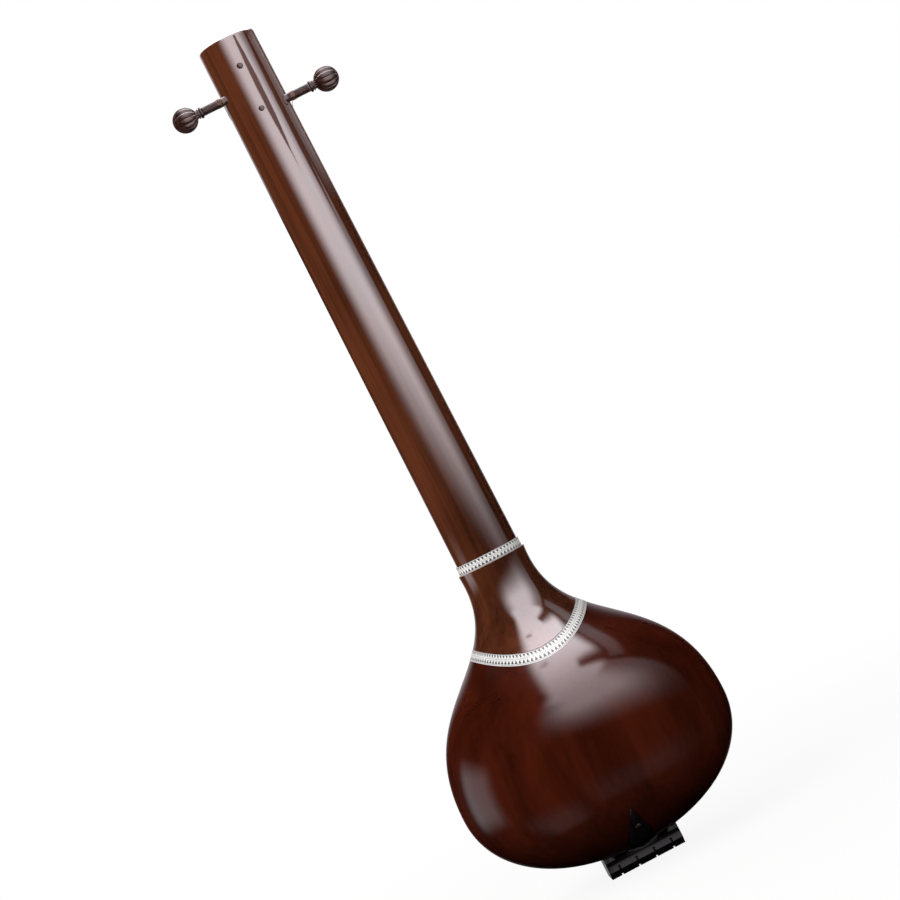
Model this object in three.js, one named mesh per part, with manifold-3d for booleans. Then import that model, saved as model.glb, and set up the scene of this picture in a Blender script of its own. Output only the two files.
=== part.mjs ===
// A tanpura: a long-necked drone lute with four strings, as an assembly of separate pieces.
// Millimetres, +Z up along the neck, strings on the -Y side.
// The origin is at the centre of the tail block's flat foot.
import * as THREE from "three";
import { mergeVertices } from "three/addons/utils/BufferGeometryUtils.js";
import Module from "manifold-3d";

const wasm = await Module();
wasm.setup();

// Fits: the gap that touching pieces keep, and how far a cutting shape runs past what it cuts
const clearance = 0.3;
const overrun = 60;
const cutterReach = 15;

// Gourd: the resonator's outline, seen from behind and from the side
const gourdWidth = 376.8;
const gourdLift = 25;
const gourdRise = 130;
const gourdBackDepth = 160;
const gourdFrontDepth = 178;
const gourdAxisY = 6;
const gourdRoundness = 2.15;
const gourdWall = 8;
const faceSetback = 70;

// Shoulder: the outline that sweeps from the gourd into the neck
const shoulderTopWidth = 96;
const shoulderTopHeight = 433;
const shoulderWaistHalf = 36;
const gourdCurveLength = 180;
const waistCurveLength = 120;

// Neck: a D-shaped trough with a solid head, closed by a flat faceplate
const overallLength = 1200;
const neckFootWidth = 88;
const neckTopWidth = 79;
const neckAxisSetback = 10;
const neckBackDepth = 38;
const neckFrontDepth = 40;
const neckWall = 9;
const neckEdgeRound = 4;
const headLength = 190;
const faceplateThickness = 5;

// Soundboard and the strip bound round its edge
const boardThickness = 4;
const boardCrown = 6;
const boardRimShare = 0.92;
const bindingWidth = 2.4;

// Inlaid bands
const neckBandWidth = 12.6;
const neckBandThickness = 2.6;
const neckBandProud = 1.6;
const gourdBandWidth = 14;
const gourdBandThickness = 2;
const gourdBandProud = 0.4;
const gourdBandBelowShoulder = 126.4;
const gourdBandRise = 36;
const gourdBandSpan = 87;

// Inner blocks
const jointBlockBelow = 40;
const jointBlockAbove = 50;
const innerBlockWidth = 96;
const innerBlockDepth = 64;
const innerBlockHeight = 22;

// Tail block and its slots
const tailBlockWidth = 106;
const tailBlockCradle = 7;
const footHalfDepth = 22;
const tailBackDepth = 28;
const tailStripHeight = 11;
const tailEdgeRound = 4;
const tailTopStep = 3;
const tailFrontBevel = 2;
const slotWidth = 2.4;
const slotDepth = 2.4;
const slotTopHeight = 15;
const tailStringSpacing = 25;

// Leaf on the gourd's back, above the tail block
const leafHalfWidth = 20;
const leafTipRise = 49;
const leafEdgeThickness = 1.6;
const leafRidgeThickness = 5;
const leafSideShare = 0.55;

// Screws and pins
const blockScrewX = 25;
const blockScrewHeadRadius = 4.5;
const blockScrewHeadHeight = 3.5;
const blockScrewShankRadius = 2.2;
const blockScrewSink = 8;
const blockScrewLength = 40;
const leafScrewRise = 27;
const leafScrewHeadRadius = 4.6;
const leafScrewHeadHeight = 2.6;
const leafScrewShankRadius = 1.8;
const leafScrewLength = 13;
const blockPinInset = 6;
const blockPinDrop = 2;
const blockPinHeadRadius = 3.4;
const blockPinHeadHeight = 1.6;
const blockPinShankRadius = 1.6;
const blockPinLength = 12;
const hitchPinHeight = 13;
const hitchPinShankRadius = 1;
const hitchPinHeadRadius = 1.9;
const hitchPinHeadHeight = 1.1;
const hitchPinStandOut = 0.8;
const hitchPinLength = 12;

// Tail saddle on the soundboard's lower rim
const saddleEndMargin = 8.5;
const saddleRise = 8.2;
const saddleThickness = 4.5;
const saddleOverhang = 1;

// Bridge, with its separate curved plate
const bridgeHeightOnBody = 150;
const bridgeEndMargin = 12;
const bridgeLength = 34;
const bridgeBaseHeight = 24;
const bridgeFootWidth = 15;
const bridgeArchHeight = 13;
const bridgeTopInset = 4;
const bridgePlateThickness = 4;
const bridgePlateRadius = 100;
const bridgeStringSpacing = 20;

// Nut with notches, and the guide with holes above it
const nutBelowTop = 170;
const nutEndMargin = 4;
const nutThickness = 5;
const nutStandOff = 11;
const guideAboveNut = 20;
const guideStandOff = 10;
const guideHoleStandOff = 7;
const guideHoleRadius = 1.1;
const nutStringSpacing = 18;

// Pegs: tapered shafts with a turned ring and a ribbed ball
const lowerPegsBelowTop = 105;
const sideUpperPegBelowTop = 72;
const frontUpperPegBelowTop = 43;
const sidePegSetback = 25;
const pegShaftRadius = 5.8;
const pegEntryRadius = 5.5;
const pegTipRadius = 3.6;
const pegExposedLength = 41;
const pegRingRadius = 7.8;
const pegRingLength = 5;
const pegBallRadius = 17;
const pegBallLobes = 12;
const pegLobeDepth = 1.7;
const pegTipProud = 1;
const sidePegTipGap = 3;
const pegThroatShare = 0.5;

// Strings and their windings on the pegs
const stringRadius = 0.3;
const windingLoops = 5;
const windingPitch = 1.2;
const frontLowerWindingStart = 14;
const frontUpperWindingStart = 12;
const sideWindingStart = 6;
const neckCornerShare = 0.66;

// Tuning beads and the threads under the strings on the bridge
const beadRadius = 4.6;
const beadLength = 11;
const beadHeightOnBody = 85;
const threadRadius = 0.22;
const threadLength = 14;
const threadOffset = 15;

// Facets
const outside = { sides: 44, gourdRings: 11, shoulderRings: 12 };
const inside = { sides: 28, gourdRings: 7, shoulderRings: 8 };
const neckSides = 28;
const outlineSteps = 8;
const bandSteps = 24;
const roundSides = 16;
const smallSides = 8;
const stringSides = 6;
const loopSteps = 24;
const lobeSteps = 3;
const ballRings = 7;
const leafRings = 8;
const archSteps = 6;
const edgeSteps = 3;
const halvings = 40;
const slopeStep = 1e-3;
const mergeTolerance = 1e-4;

// Derived places
const faceY = gourdAxisY - faceSetback;
const gourdHalf = gourdWidth / 2;
const widestHeight = gourdLift + gourdRise;
const neckFootHalf = neckFootWidth / 2;
const neckTopHalf = neckTopWidth / 2;
const neckAxisY = faceY + neckAxisSetback;
const bodyJointHeight = shoulderTopHeight;
const channelTopHeight = overallLength - headLength;
const gourdBandBackHeight = shoulderTopHeight - gourdBandBelowShoulder;
const tailBlockHeight = gourdLift + tailBlockCradle;
const tailFaceHeight = tailBlockHeight - tailTopStep - tailEdgeRound;
const blockPinHeight = tailFaceHeight - blockPinDrop;
const leafTipHeight = gourdLift + leafTipRise;
const leafScrewHeight = gourdLift + leafScrewRise;
const nutHeightOnBody = overallLength - nutBelowTop;
const guideHeightOnBody = nutHeightOnBody + guideAboveNut;
const bodySpan = (gourdWidth + overrun) * 2;
const stringGroove = stringRadius + clearance;
const X = new THREE.Vector3(1, 0, 0);
const Y = new THREE.Vector3(0, 1, 0);
const Z = new THREE.Vector3(0, 0, 1);

// Materials, with the colours seen in the photograph
function finish(color, roughness, metalness = 0) {
  return () => new THREE.MeshStandardMaterial({ color, roughness, metalness });
}
const lacqueredWood = finish(0x4a1c12, 0.25);
const rawWood = finish(0xb48a5a, 0.7);
const boardWood = finish(0x6b3216, 0.3);
const pegWood = finish(0x24120d, 0.45);
const blackWood = finish(0x0e0c0c, 0.3);
const ivoryWhite = finish(0xe9e6dd, 0.35);
const bone = finish(0xe6dcc0, 0.4);
const brass = finish(0xb08d4a, 0.35, 1);
const steel = finish(0x9a9a9a, 0.35, 1);
const bronzeWire = finish(0xa8743c, 0.35, 1);
const cotton = finish(0xe8e2d4, 0.9);
const glassBead = finish(0x3a5c8a, 0.15);

// Solids and meshes
function solidOf(geometry, matrix) {
  const loose = geometry.index ? geometry.toNonIndexed() : geometry.clone();
  loose.deleteAttribute("normal");
  loose.deleteAttribute("uv");
  if (matrix) loose.applyMatrix4(matrix);
  const merged = mergeVertices(loose, mergeTolerance);
  return new wasm.Manifold(
    new wasm.Mesh({
      numProp: 3,
      vertProperties: merged.attributes.position.array,
      triVerts: new Uint32Array(merged.index.array),
    }),
  );
}

function geometryOf(solid) {
  const made = solid.getMesh();
  const position = new Float32Array(made.numVert * 3);
  for (let i = 0; i < made.numVert; i++) {
    position.set(made.vertProperties.subarray(i * made.numProp, i * made.numProp + 3), i * 3);
  }
  const geometry = new THREE.BufferGeometry();
  geometry.setAttribute("position", new THREE.BufferAttribute(position, 3));
  geometry.setIndex(new THREE.BufferAttribute(new Uint32Array(made.triVerts), 1));
  geometry.computeVertexNormals();
  return geometry;
}

const tanpura = new THREE.Group();
tanpura.name = "tanpura";

function addPiece(name, shape, material, parent = tanpura) {
  const geometry = shape.isBufferGeometry ? shape : geometryOf(shape);
  const mesh = new THREE.Mesh(geometry, material());
  mesh.name = name;
  parent.add(mesh);
  return mesh;
}

// A closed surface through rings of points that run anticlockwise about the way on.
// A ring of one point is a pole.
function loft(rings) {
  const points = [];
  const faces = [];
  const starts = rings.map((ring) => {
    points.push(...ring);
    return points.length - ring.length;
  });
  const cap = (ring, start, flip) => {
    const middle = new THREE.Vector3();
    ring.forEach((p) => middle.addScaledVector(p, 1 / ring.length));
    points.push(middle);
    ring.forEach((_, j) => {
      const a = start + j;
      const b = start + ((j + 1) % ring.length);
      faces.push(flip ? [b, a, points.length - 1] : [a, b, points.length - 1]);
    });
  };
  for (let i = 0; i + 1 < rings.length; i++) {
    const low = rings[i];
    const high = rings[i + 1];
    const count = Math.max(low.length, high.length);
    for (let j = 0; j < count; j++) {
      const k = (j + 1) % count;
      const a = starts[i] + (low.length > 1 ? j : 0);
      const b = starts[i] + (low.length > 1 ? k : 0);
      const c = starts[i + 1] + (high.length > 1 ? k : 0);
      const d = starts[i + 1] + (high.length > 1 ? j : 0);
      if (low.length > 1) faces.push([a, b, c]);
      if (high.length > 1) faces.push([a, c, d]);
    }
  }
  if (rings[0].length > 1) cap(rings[0], starts[0], true);
  const last = rings.length - 1;
  if (rings[last].length > 1) cap(rings[last], starts[last], false);
  const position = new Float32Array(points.flatMap((p) => [p.x, p.y, p.z]));
  const geometry = new THREE.BufferGeometry();
  geometry.setAttribute("position", new THREE.BufferAttribute(position, 3));
  geometry.setIndex(faces.flat());
  geometry.computeVertexNormals();
  return geometry;
}

function ellipseRing(sides, height, halfWidth, axisY, back, front) {
  return Array.from({ length: sides }, (_, i) => {
    const angle = (2 * Math.PI * i) / sides;
    const depth = Math.sin(angle) > 0 ? back : front;
    return new THREE.Vector3(halfWidth * Math.cos(angle), axisY + depth * Math.sin(angle), height);
  });
}

// A turned shape about local Z, from [height, radius] pairs; a radius of zero is a pole
function turned(profile, sides = roundSides) {
  const rings = profile.map(([height, radius]) => {
    if (radius === 0) return [new THREE.Vector3(0, 0, height)];
    return ellipseRing(sides, height, radius, 0, radius, radius);
  });
  return loft(rings);
}

// A tube of a round section along points, with mitred corners
function tube(points, radius, sides = stringSides) {
  const ways = points.map((p, i) => {
    const way = new THREE.Vector3();
    if (i > 0) way.add(p.clone().sub(points[i - 1]).normalize());
    if (i + 1 < points.length) way.add(points[i + 1].clone().sub(p).normalize());
    return way.normalize();
  });
  const side = Math.abs(ways[0].z) < Math.SQRT1_2 ? Z.clone() : X.clone();
  const rings = points.map((p, i) => {
    side.addScaledVector(ways[i], -side.dot(ways[i])).normalize();
    const up = new THREE.Vector3().crossVectors(ways[i], side);
    const neighbour = i > 0 ? points[i - 1] : points[i + 1];
    const run = p.clone().sub(neighbour).normalize();
    const stretch = 1 / Math.max(Math.abs(run.dot(ways[i])), Math.SQRT1_2);
    const bend = run.clone().addScaledVector(ways[i], -run.dot(ways[i]));
    return Array.from({ length: sides }, (_, k) => {
      const angle = (2 * Math.PI * k) / sides;
      const out = side.clone().multiplyScalar(radius * Math.cos(angle));
      out.addScaledVector(up, radius * Math.sin(angle));
      if (bend.length() > mergeTolerance) {
        const across = bend.clone().normalize();
        out.addScaledVector(across, out.dot(across) * (stretch - 1));
      }
      return out.add(p);
    });
  });
  return loft(rings);
}

// A box between two corners
function block(low, high) {
  const size = high.map((value, i) => value - low[i]);
  const geometry = new THREE.BoxGeometry(...size);
  geometry.translate(...low.map((value, i) => value + size[i] / 2));
  return solidOf(geometry);
}

// An outline in X and Z, run along Y from its nearer to its further plane
function prismY(outline, nearY, farY) {
  const shape = new THREE.Shape(outline.map(([x, z]) => new THREE.Vector2(x, z)));
  const geometry = new THREE.ExtrudeGeometry(shape, { depth: farY - nearY, bevelEnabled: false });
  const matrix = new THREE.Matrix4().makeBasis(X, Z, Y.clone().negate());
  matrix.setPosition(0, farY, 0);
  return solidOf(geometry, matrix);
}

// An outline in Y and Z, run along X between two planes
function prismX(outline, lowX, highX) {
  const shape = new THREE.Shape(outline.map(([y, z]) => new THREE.Vector2(y, z)));
  const geometry = new THREE.ExtrudeGeometry(shape, { depth: highX - lowX, bevelEnabled: false });
  const matrix = new THREE.Matrix4().makeBasis(Y, Z, X);
  matrix.setPosition(lowX, 0, 0);
  return solidOf(geometry, matrix);
}

// The body's outline: 0 at the lowest point, 1 at the widest place, 2 at the shoulder's top
function outlineAt(t) {
  if (t <= 1) {
    const angle = (t * Math.PI) / 2;
    const power = 2 / gourdRoundness;
    const out = Math.pow(Math.sin(angle), power);
    const down = Math.pow(Math.max(Math.cos(angle), 0), power);
    return [gourdHalf * out, widestHeight - gourdRise * down];
  }
  const curve = new THREE.CubicBezierCurve(
    new THREE.Vector2(gourdHalf, widestHeight),
    new THREE.Vector2(gourdHalf, widestHeight + gourdCurveLength),
    new THREE.Vector2(shoulderWaistHalf, shoulderTopHeight - waistCurveLength),
    new THREE.Vector2(shoulderTopWidth / 2, shoulderTopHeight),
  );
  const point = curve.getPoint(t - 1);
  return [point.x, point.y];
}

// One section of the body, moved out by an offset along the outline's normal
function station(t, offset) {
  const [half, height] = outlineAt(t);
  const [halfBefore, heightBefore] = outlineAt(Math.max(t - slopeStep, 0));
  const [halfAfter, heightAfter] = outlineAt(Math.min(t + slopeStep, 2));
  const normal = new THREE.Vector2(heightAfter - heightBefore, halfBefore - halfAfter).normalize();
  if (t === 0) normal.set(0, -1);
  const out = offset * normal.x;
  const swell = Math.max((half - neckFootHalf) / (gourdHalf - neckFootHalf), 0);
  const section = { half: half + out, height: height + offset * normal.y };
  if (t < 1) {
    const share = half / gourdHalf;
    section.axisY = gourdAxisY;
    section.back = gourdBackDepth * share + out;
    section.front = gourdFrontDepth * share + out;
  } else {
    section.axisY = THREE.MathUtils.lerp(neckAxisY, gourdAxisY, swell);
    section.back = THREE.MathUtils.lerp(neckBackDepth, gourdBackDepth, swell) + out;
    section.front = THREE.MathUtils.lerp(neckFrontDepth, gourdFrontDepth, swell) + out;
  }
  return section;
}

// Where a test along the gourd's lower outline turns from true to false, found by halving
function outlineSearch(isBefore) {
  let low = 0;
  let high = 1;
  for (let i = 0; i < halvings; i++) {
    const middle = (low + high) / 2;
    if (isBefore(middle)) low = middle;
    else high = middle;
  }
  return high;
}

function parameterAtHeight(height) {
  return outlineSearch((t) => outlineAt(t)[1] < height);
}

// The place on the outline where the body's front just reaches a plane before the face
function faceEdgeParameter(beyond) {
  return outlineSearch((t) => station(t, 0).front < faceSetback + beyond);
}

// Half the body's width at the face plane
function halfAtFace(s) {
  return s.half * Math.sqrt(Math.max(1 - Math.pow((s.axisY - faceY) / s.front, 2), 0));
}

// The outline of the flat face, inset by a width: crowded towards the foot, then on the loft's own rings
function faceOutline(inset, topHeight) {
  const start = faceEdgeParameter(inset);
  const crowding = 1.6;
  const right = [];
  const add = (t) => {
    const s = station(t, -inset);
    if (s.height < topHeight) right.push([halfAtFace(s), s.height]);
  };
  for (let i = 1; i <= outlineSteps; i++) {
    add(THREE.MathUtils.lerp(start, 1, Math.pow(i / outlineSteps, crowding)));
  }
  for (let i = 1; i <= outside.shoulderRings; i++) add(1 + i / outside.shoulderRings);
  right.push([halfAtFace(station(2, -inset)), topHeight]);
  const foot = [0, station(start, -inset).height];
  const left = right.map(([x, z]) => [-x, z]).reverse();
  return [foot, ...right, ...left];
}

// A point on the gourd's back, at an offset from it and a distance from its middle line
function backPoint(t, x, offset) {
  const s = station(t, offset);
  const y = s.axisY + s.back * Math.sqrt(Math.max(1 - Math.pow(x / s.half, 2), 0));
  return new THREE.Vector3(x, y, s.height);
}

function backNormal(t) {
  const along = backPoint(t + slopeStep, 0, 0).sub(backPoint(t - slopeStep, 0, 0));
  return new THREE.Vector3(0, along.z, -along.y).normalize();
}

function bodyLoft(offset, facets = outside) {
  const rings = [[new THREE.Vector3(0, gourdAxisY, station(0, offset).height)]];
  const add = (t) => {
    const s = station(t, offset);
    rings.push(ellipseRing(facets.sides, s.height, s.half, s.axisY, s.back, s.front));
  };
  for (let i = 1; i <= facets.gourdRings; i++) add(i / facets.gourdRings);
  for (let i = 1; i <= facets.shoulderRings; i++) add(1 + i / facets.shoulderRings);
  const top = station(2, offset);
  rings.push(ellipseRing(facets.sides, bodyJointHeight + overrun, top.half, top.axisY, top.back, top.front));
  return solidOf(loft(rings));
}

// The neck: half its width at a height, and its section there
function neckHalfAt(height) {
  const share = (height - bodyJointHeight) / (overallLength - bodyJointHeight);
  return THREE.MathUtils.lerp(neckFootHalf, neckTopHalf, share);
}

function neckSection(height, offset) {
  const half = neckHalfAt(height) + offset;
  return ellipseRing(neckSides, height, half, neckAxisY, neckBackDepth + offset, neckFrontDepth + offset);
}

function neckLoft(offset, low, high, edgeRound = 0) {
  const rings = [neckSection(low, offset)];
  if (edgeRound > 0) {
    for (let i = 0; i <= edgeSteps; i++) {
      const angle = ((i / edgeSteps) * Math.PI) / 2;
      const height = high - edgeRound * (1 - Math.sin(angle));
      rings.push(neckSection(height, offset - edgeRound * (1 - Math.cos(angle))));
    }
  } else {
    rings.push(neckSection(high, offset));
  }
  return solidOf(loft(rings));
}

// A slab of the whole object between two depths, and all that lies in front of a plane
function slab(nearY, farY, lowZ = -overrun, highZ = overallLength + overrun) {
  return block([-bodySpan / 2, nearY, lowZ], [bodySpan / 2, farY, highZ]);
}

function inFrontOf(planeY) {
  return slab(faceY - gourdFrontDepth - overrun, planeY);
}

function between(lowZ, highZ) {
  return slab(faceY - overrun, gourdAxisY + gourdBackDepth + overrun, lowZ, highZ);
}

// The height of the gourd band's middle, which dips at the back's centre
function bandMiddle(x) {
  return gourdBandBackHeight + gourdBandRise * Math.pow(x / gourdBandSpan, 2);
}

// A curve that runs beside the band's middle line, from -X to +X
function bandCurve(offset) {
  return Array.from({ length: bandSteps + 1 }, (_, i) => {
    const x = gourdHalf * ((2 * i) / bandSteps - 1);
    return [x, bandMiddle(x) + offset];
  });
}

function throughBody(outline) {
  return prismY(outline, faceY - overrun, gourdAxisY + gourdBackDepth + overrun);
}

// The region of the band, widened all round by a gap, and all that lies below its middle line
function bandRegion(gap) {
  const reach = gourdBandWidth / 2 + gap;
  return throughBody([...bandCurve(-reach), ...bandCurve(reach).reverse()]);
}

function belowBand(offset) {
  const curve = bandCurve(offset);
  const endHeight = curve[0][1];
  const foot = [[-bodySpan / 2, -overrun], [bodySpan / 2, -overrun], [bodySpan / 2, endHeight]];
  return throughBody([...foot, ...curve.reverse(), [-bodySpan / 2, endHeight]]);
}

// A cylinder along Y or Z, for holes
function holeY(x, z, radius, nearY, farY) {
  const geometry = turned([[0, radius], [farY - nearY, radius]], smallSides);
  const matrix = new THREE.Matrix4().makeBasis(X, Z.clone().negate(), Y);
  matrix.setPosition(x, nearY, z);
  return solidOf(geometry, matrix);
}

function holeZ(x, y, radius, lowZ, highZ) {
  const geometry = turned([[lowZ, radius], [highZ, radius]], smallSides);
  return solidOf(geometry, new THREE.Matrix4().makeTranslation(x, y, 0));
}

// Screws and pins: a domed head above local zero, a pointed shank below
function domedPin(headRadius, headHeight, shankRadius, shankLength, standOut = 0) {
  const domeShare = Math.cos(Math.PI / 6);
  return turned([
    [-shankLength, 0],
    [-shankLength + shankRadius, shankRadius],
    [standOut, shankRadius],
    [standOut, headRadius],
    [standOut + headHeight / 2, headRadius * domeShare],
    [standOut + headHeight, 0],
  ], smallSides);
}

// The frame that stands a pin square on a surface at a point, along an outward way
function standAt(point, way) {
  const turn = new THREE.Quaternion().setFromUnitVectors(Z, way);
  return new THREE.Matrix4().compose(point, turn, new THREE.Vector3(1, 1, 1));
}

function addPlaced(name, geometry, material, matrix) {
  const mesh = addPiece(name, geometry, material);
  matrix.decompose(mesh.position, mesh.quaternion, mesh.scale);
  return mesh;
}

// Strings one to four run from -X to +X
const stringPlaces = [-1.5, -0.5, 0.5, 1.5];
const tailXs = stringPlaces.map((place) => place * tailStringSpacing);
const bridgeXs = stringPlaces.map((place) => place * bridgeStringSpacing);
const nutXs = stringPlaces.map((place) => place * nutStringSpacing);
const bridgeHalf = bridgeXs[3] + bridgeEndMargin;
const saddleHalf = tailXs[3] + saddleEndMargin;
const nutHalf = nutXs[3] + nutEndMargin;

// The string's height over the bridge and the nut
const boardTopY = faceY - boardCrown;
const bridgeFootY = boardTopY - clearance;
const bridgeBaseTopY = bridgeFootY - bridgeBaseHeight;
const plateFootY = bridgeBaseTopY - clearance;
const plateTopY = plateFootY - bridgePlateThickness;
const bridgeStringY = plateTopY - clearance - stringRadius;
const nutStringY = faceY - clearance - nutStandOff;
const bridgeLowEdge = bridgeHeightOnBody - bridgeLength / 2;
const speakingSlope = (nutStringY - bridgeStringY) / (nutHeightOnBody - bridgeHeightOnBody);

function speakingY(height) {
  return bridgeStringY + speakingSlope * (height - bridgeHeightOnBody);
}

function speakingX(i, height) {
  const share = (height - bridgeHeightOnBody) / (nutHeightOnBody - bridgeHeightOnBody);
  return THREE.MathUtils.lerp(bridgeXs[i], nutXs[i], share);
}

// Tail block: the profile of its section, inset all round by a depth where asked
function tailProfile(inset) {
  const stripLean = (tailBackDepth - footHalfDepth) / tailStripHeight;
  const roundStep = tailEdgeRound * Math.SQRT1_2;
  return [
    [-footHalfDepth + tailFrontBevel + inset / 2, inset],
    [footHalfDepth - inset * (1 - stripLean), inset],
    [tailBackDepth - inset, tailStripHeight + inset * stripLean / 2],
    [tailBackDepth - inset, tailFaceHeight],
    [tailBackDepth - tailEdgeRound + roundStep - inset, tailFaceHeight + roundStep],
    [tailBackDepth - tailEdgeRound - inset, tailFaceHeight + tailEdgeRound],
    [tailBackDepth - tailEdgeRound - inset, tailBlockHeight],
    [-footHalfDepth + inset, tailBlockHeight],
    [-footHalfDepth + inset, tailFrontBevel + inset / 2],
  ];
}

const stringHeightInSlot = slotDepth - clearance - stringRadius;
const hitchEndHeight = hitchPinHeight - hitchPinShankRadius - clearance;

// The string's way from its hitch pin round the tail block, over the saddle and up to the bridge
const saddleTopY = faceY - clearance - saddleThickness;
const saddleRimHeight = station(faceEdgeParameter(saddleThickness), saddleOverhang).height;
const saddleTopHeight = saddleRimHeight + saddleRise;
const rimGap = stringGroove + stringRadius;
const bridgeEntry = bridgeLowEdge - clearance * 2;

function tailRoute(i) {
  const x = tailXs[i];
  const [footFront, footBack, backLow] = tailProfile(stringHeightInSlot);
  return [
    new THREE.Vector3(x, backLow[0], hitchEndHeight),
    new THREE.Vector3(x, backLow[0], backLow[1]),
    new THREE.Vector3(x, footBack[0], footBack[1]),
    new THREE.Vector3(x, footFront[0] - tailFrontBevel / 2, footFront[1]),
    new THREE.Vector3(x, saddleTopY + rimGap * 2, saddleRimHeight - rimGap * 2),
    new THREE.Vector3(x, saddleTopY - rimGap / 2, saddleRimHeight - rimGap / 2),
    new THREE.Vector3(x, saddleTopY - rimGap, (saddleRimHeight + saddleTopHeight) / 2),
    new THREE.Vector3(x, saddleTopY - rimGap, saddleTopHeight),
    new THREE.Vector3(bridgeXs[i], speakingY(bridgeEntry), bridgeEntry),
  ];
}

// Gourd and shoulder: one shell, parted under the inlaid band
const bodyOuter = bodyLoft(0);
const frontOfRim = inFrontOf(faceY + boardThickness + clearance);
const bodyShell = bodyOuter.subtract(bodyLoft(-gourdWall, inside)).subtract(frontOfRim);
const bandRebate = bodyLoft(cutterReach)
  .subtract(bodyLoft(-gourdBandThickness - clearance))
  .intersect(bandRegion(clearance));

const innerBlockLow = gourdLift + gourdWall;
const blockScrewTop = blockScrewSink + blockScrewLength;
const blockScrewHoles = [-blockScrewX, blockScrewX].map((x) =>
  holeZ(x, 0, blockScrewShankRadius + clearance, -overrun, blockScrewTop + clearance),
);

// The leaf's screw stands square on the gourd's back
const leafScrewT = parameterAtHeight(leafScrewHeight);
const leafScrewPlace = backPoint(leafScrewT, 0, 0);
const leafScrewWay = backNormal(leafScrewT);
const leafScrewLift = leafRidgeThickness + clearance * 2;
const leafScrewSeat = leafScrewPlace.clone().addScaledVector(leafScrewWay, leafScrewLift);
const leafScrewMatrix = standAt(leafScrewSeat, leafScrewWay);
const leafScrewBore = leafScrewShankRadius + clearance;
const leafScrewHole = solidOf(turned([[-overrun, leafScrewBore], [overrun, leafScrewBore]]), leafScrewMatrix);

const gourd = bodyShell
  .intersect(belowBand(-clearance / 2))
  .subtract(bandRebate)
  .subtract(blockScrewHoles[0])
  .subtract(blockScrewHoles[1])
  .subtract(leafScrewHole);
addPiece("gourd", gourd, lacqueredWood);

const shoulder = bodyShell
  .subtract(belowBand(clearance / 2))
  .subtract(bandRebate)
  .subtract(between(bodyJointHeight - clearance / 2));
addPiece("shoulder", shoulder, lacqueredWood);

const gourdBand = bodyLoft(gourdBandProud)
  .subtract(bodyLoft(-gourdBandThickness))
  .intersect(bandRegion(0))
  .subtract(frontOfRim);
addPiece("gourd_band", gourdBand, ivoryWhite);

// Soundboard: a plate of even thickness that swells forward in the middle
function soundboard() {
  const outline = faceOutline(bindingWidth + clearance, bodyJointHeight - clearance / 2);
  const ringShares = [1, boardRimShare, 0.7, 0.35];
  const ringAt = (share, thickness) =>
    outline.map(([x, z]) => {
      const lift = boardCrown * Math.max(1 - Math.pow(share / boardRimShare, 2), 0);
      const height = THREE.MathUtils.lerp(widestHeight, z, share);
      return new THREE.Vector3(x * share, faceY + thickness - lift, height);
    });
  const middle = (thickness) => [new THREE.Vector3(0, faceY + thickness - boardCrown, widestHeight)];
  const backRings = [...ringShares].reverse().map((share) => ringAt(share, boardThickness));
  const frontRings = ringShares.map((share) => ringAt(share, 0));
  return loft([middle(boardThickness), ...backRings, ...frontRings, middle(0)]);
}
addPiece("soundboard", solidOf(soundboard()), boardWood);

const bindingInside = prismY(
  faceOutline(bindingWidth, bodyJointHeight + overrun),
  faceY - overrun,
  faceY + boardThickness + overrun,
);
const binding = bodyOuter
  .intersect(slab(faceY, faceY + boardThickness, -overrun, bodyJointHeight - clearance / 2))
  .subtract(bindingInside);
addPiece("soundboard_binding", binding, ivoryWhite);

// Neck: the trough, its faceplate and its band
const neckLow = bodyJointHeight + clearance / 2;
const neckOuter = neckLoft(0, neckLow, overallLength, neckEdgeRound);
const neckChannel = neckLoft(-neckWall, bodyJointHeight - overrun, channelTopHeight);

// Pegs stand on the head: local zero is where the shaft enters the wood, and local +Z runs out to the ball
function pegTipRadiusAt(depth) {
  const fullDepth = neckAxisSetback + neckBackDepth;
  return THREE.MathUtils.lerp(pegEntryRadius, pegTipRadius, depth / fullDepth);
}

function pegShape(depth) {
  const ringMiddle = pegExposedLength - pegRingLength;
  const shaft = turned([
    [-depth, pegTipRadiusAt(depth)],
    [0, pegEntryRadius],
    [clearance, pegShaftRadius],
    [ringMiddle - pegRingLength / 2, pegShaftRadius],
    [ringMiddle - pegRingLength / 4, pegRingRadius],
    [ringMiddle + pegRingLength / 4, pegRingRadius],
    [ringMiddle + pegRingLength / 2, pegShaftRadius],
    [pegExposedLength + pegBallRadius * pegThroatShare, pegShaftRadius],
  ]);
  const ballMiddle = pegExposedLength + pegBallRadius;
  const sides = pegBallLobes * lobeSteps;
  const rings = [];
  for (let i = 0; i <= ballRings; i++) {
    const tilt = Math.PI * (i / ballRings - 0.5);
    const height = ballMiddle + pegBallRadius * Math.sin(tilt);
    const out = pegBallRadius * Math.cos(tilt);
    if (i === 0 || i === ballRings) {
      rings.push([new THREE.Vector3(0, 0, height)]);
      continue;
    }
    rings.push(
      Array.from({ length: sides }, (_, k) => {
        const angle = (2 * Math.PI * k) / sides;
        const groove = 1 - Math.abs(Math.sin((angle * pegBallLobes) / 2));
        const radius = out * (1 - (pegLobeDepth / pegBallRadius) * groove);
        return new THREE.Vector3(radius * Math.cos(angle), radius * Math.sin(angle), height);
      }),
    );
  }
  return solidOf(shaft).add(solidOf(loft(rings)));
}

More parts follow.
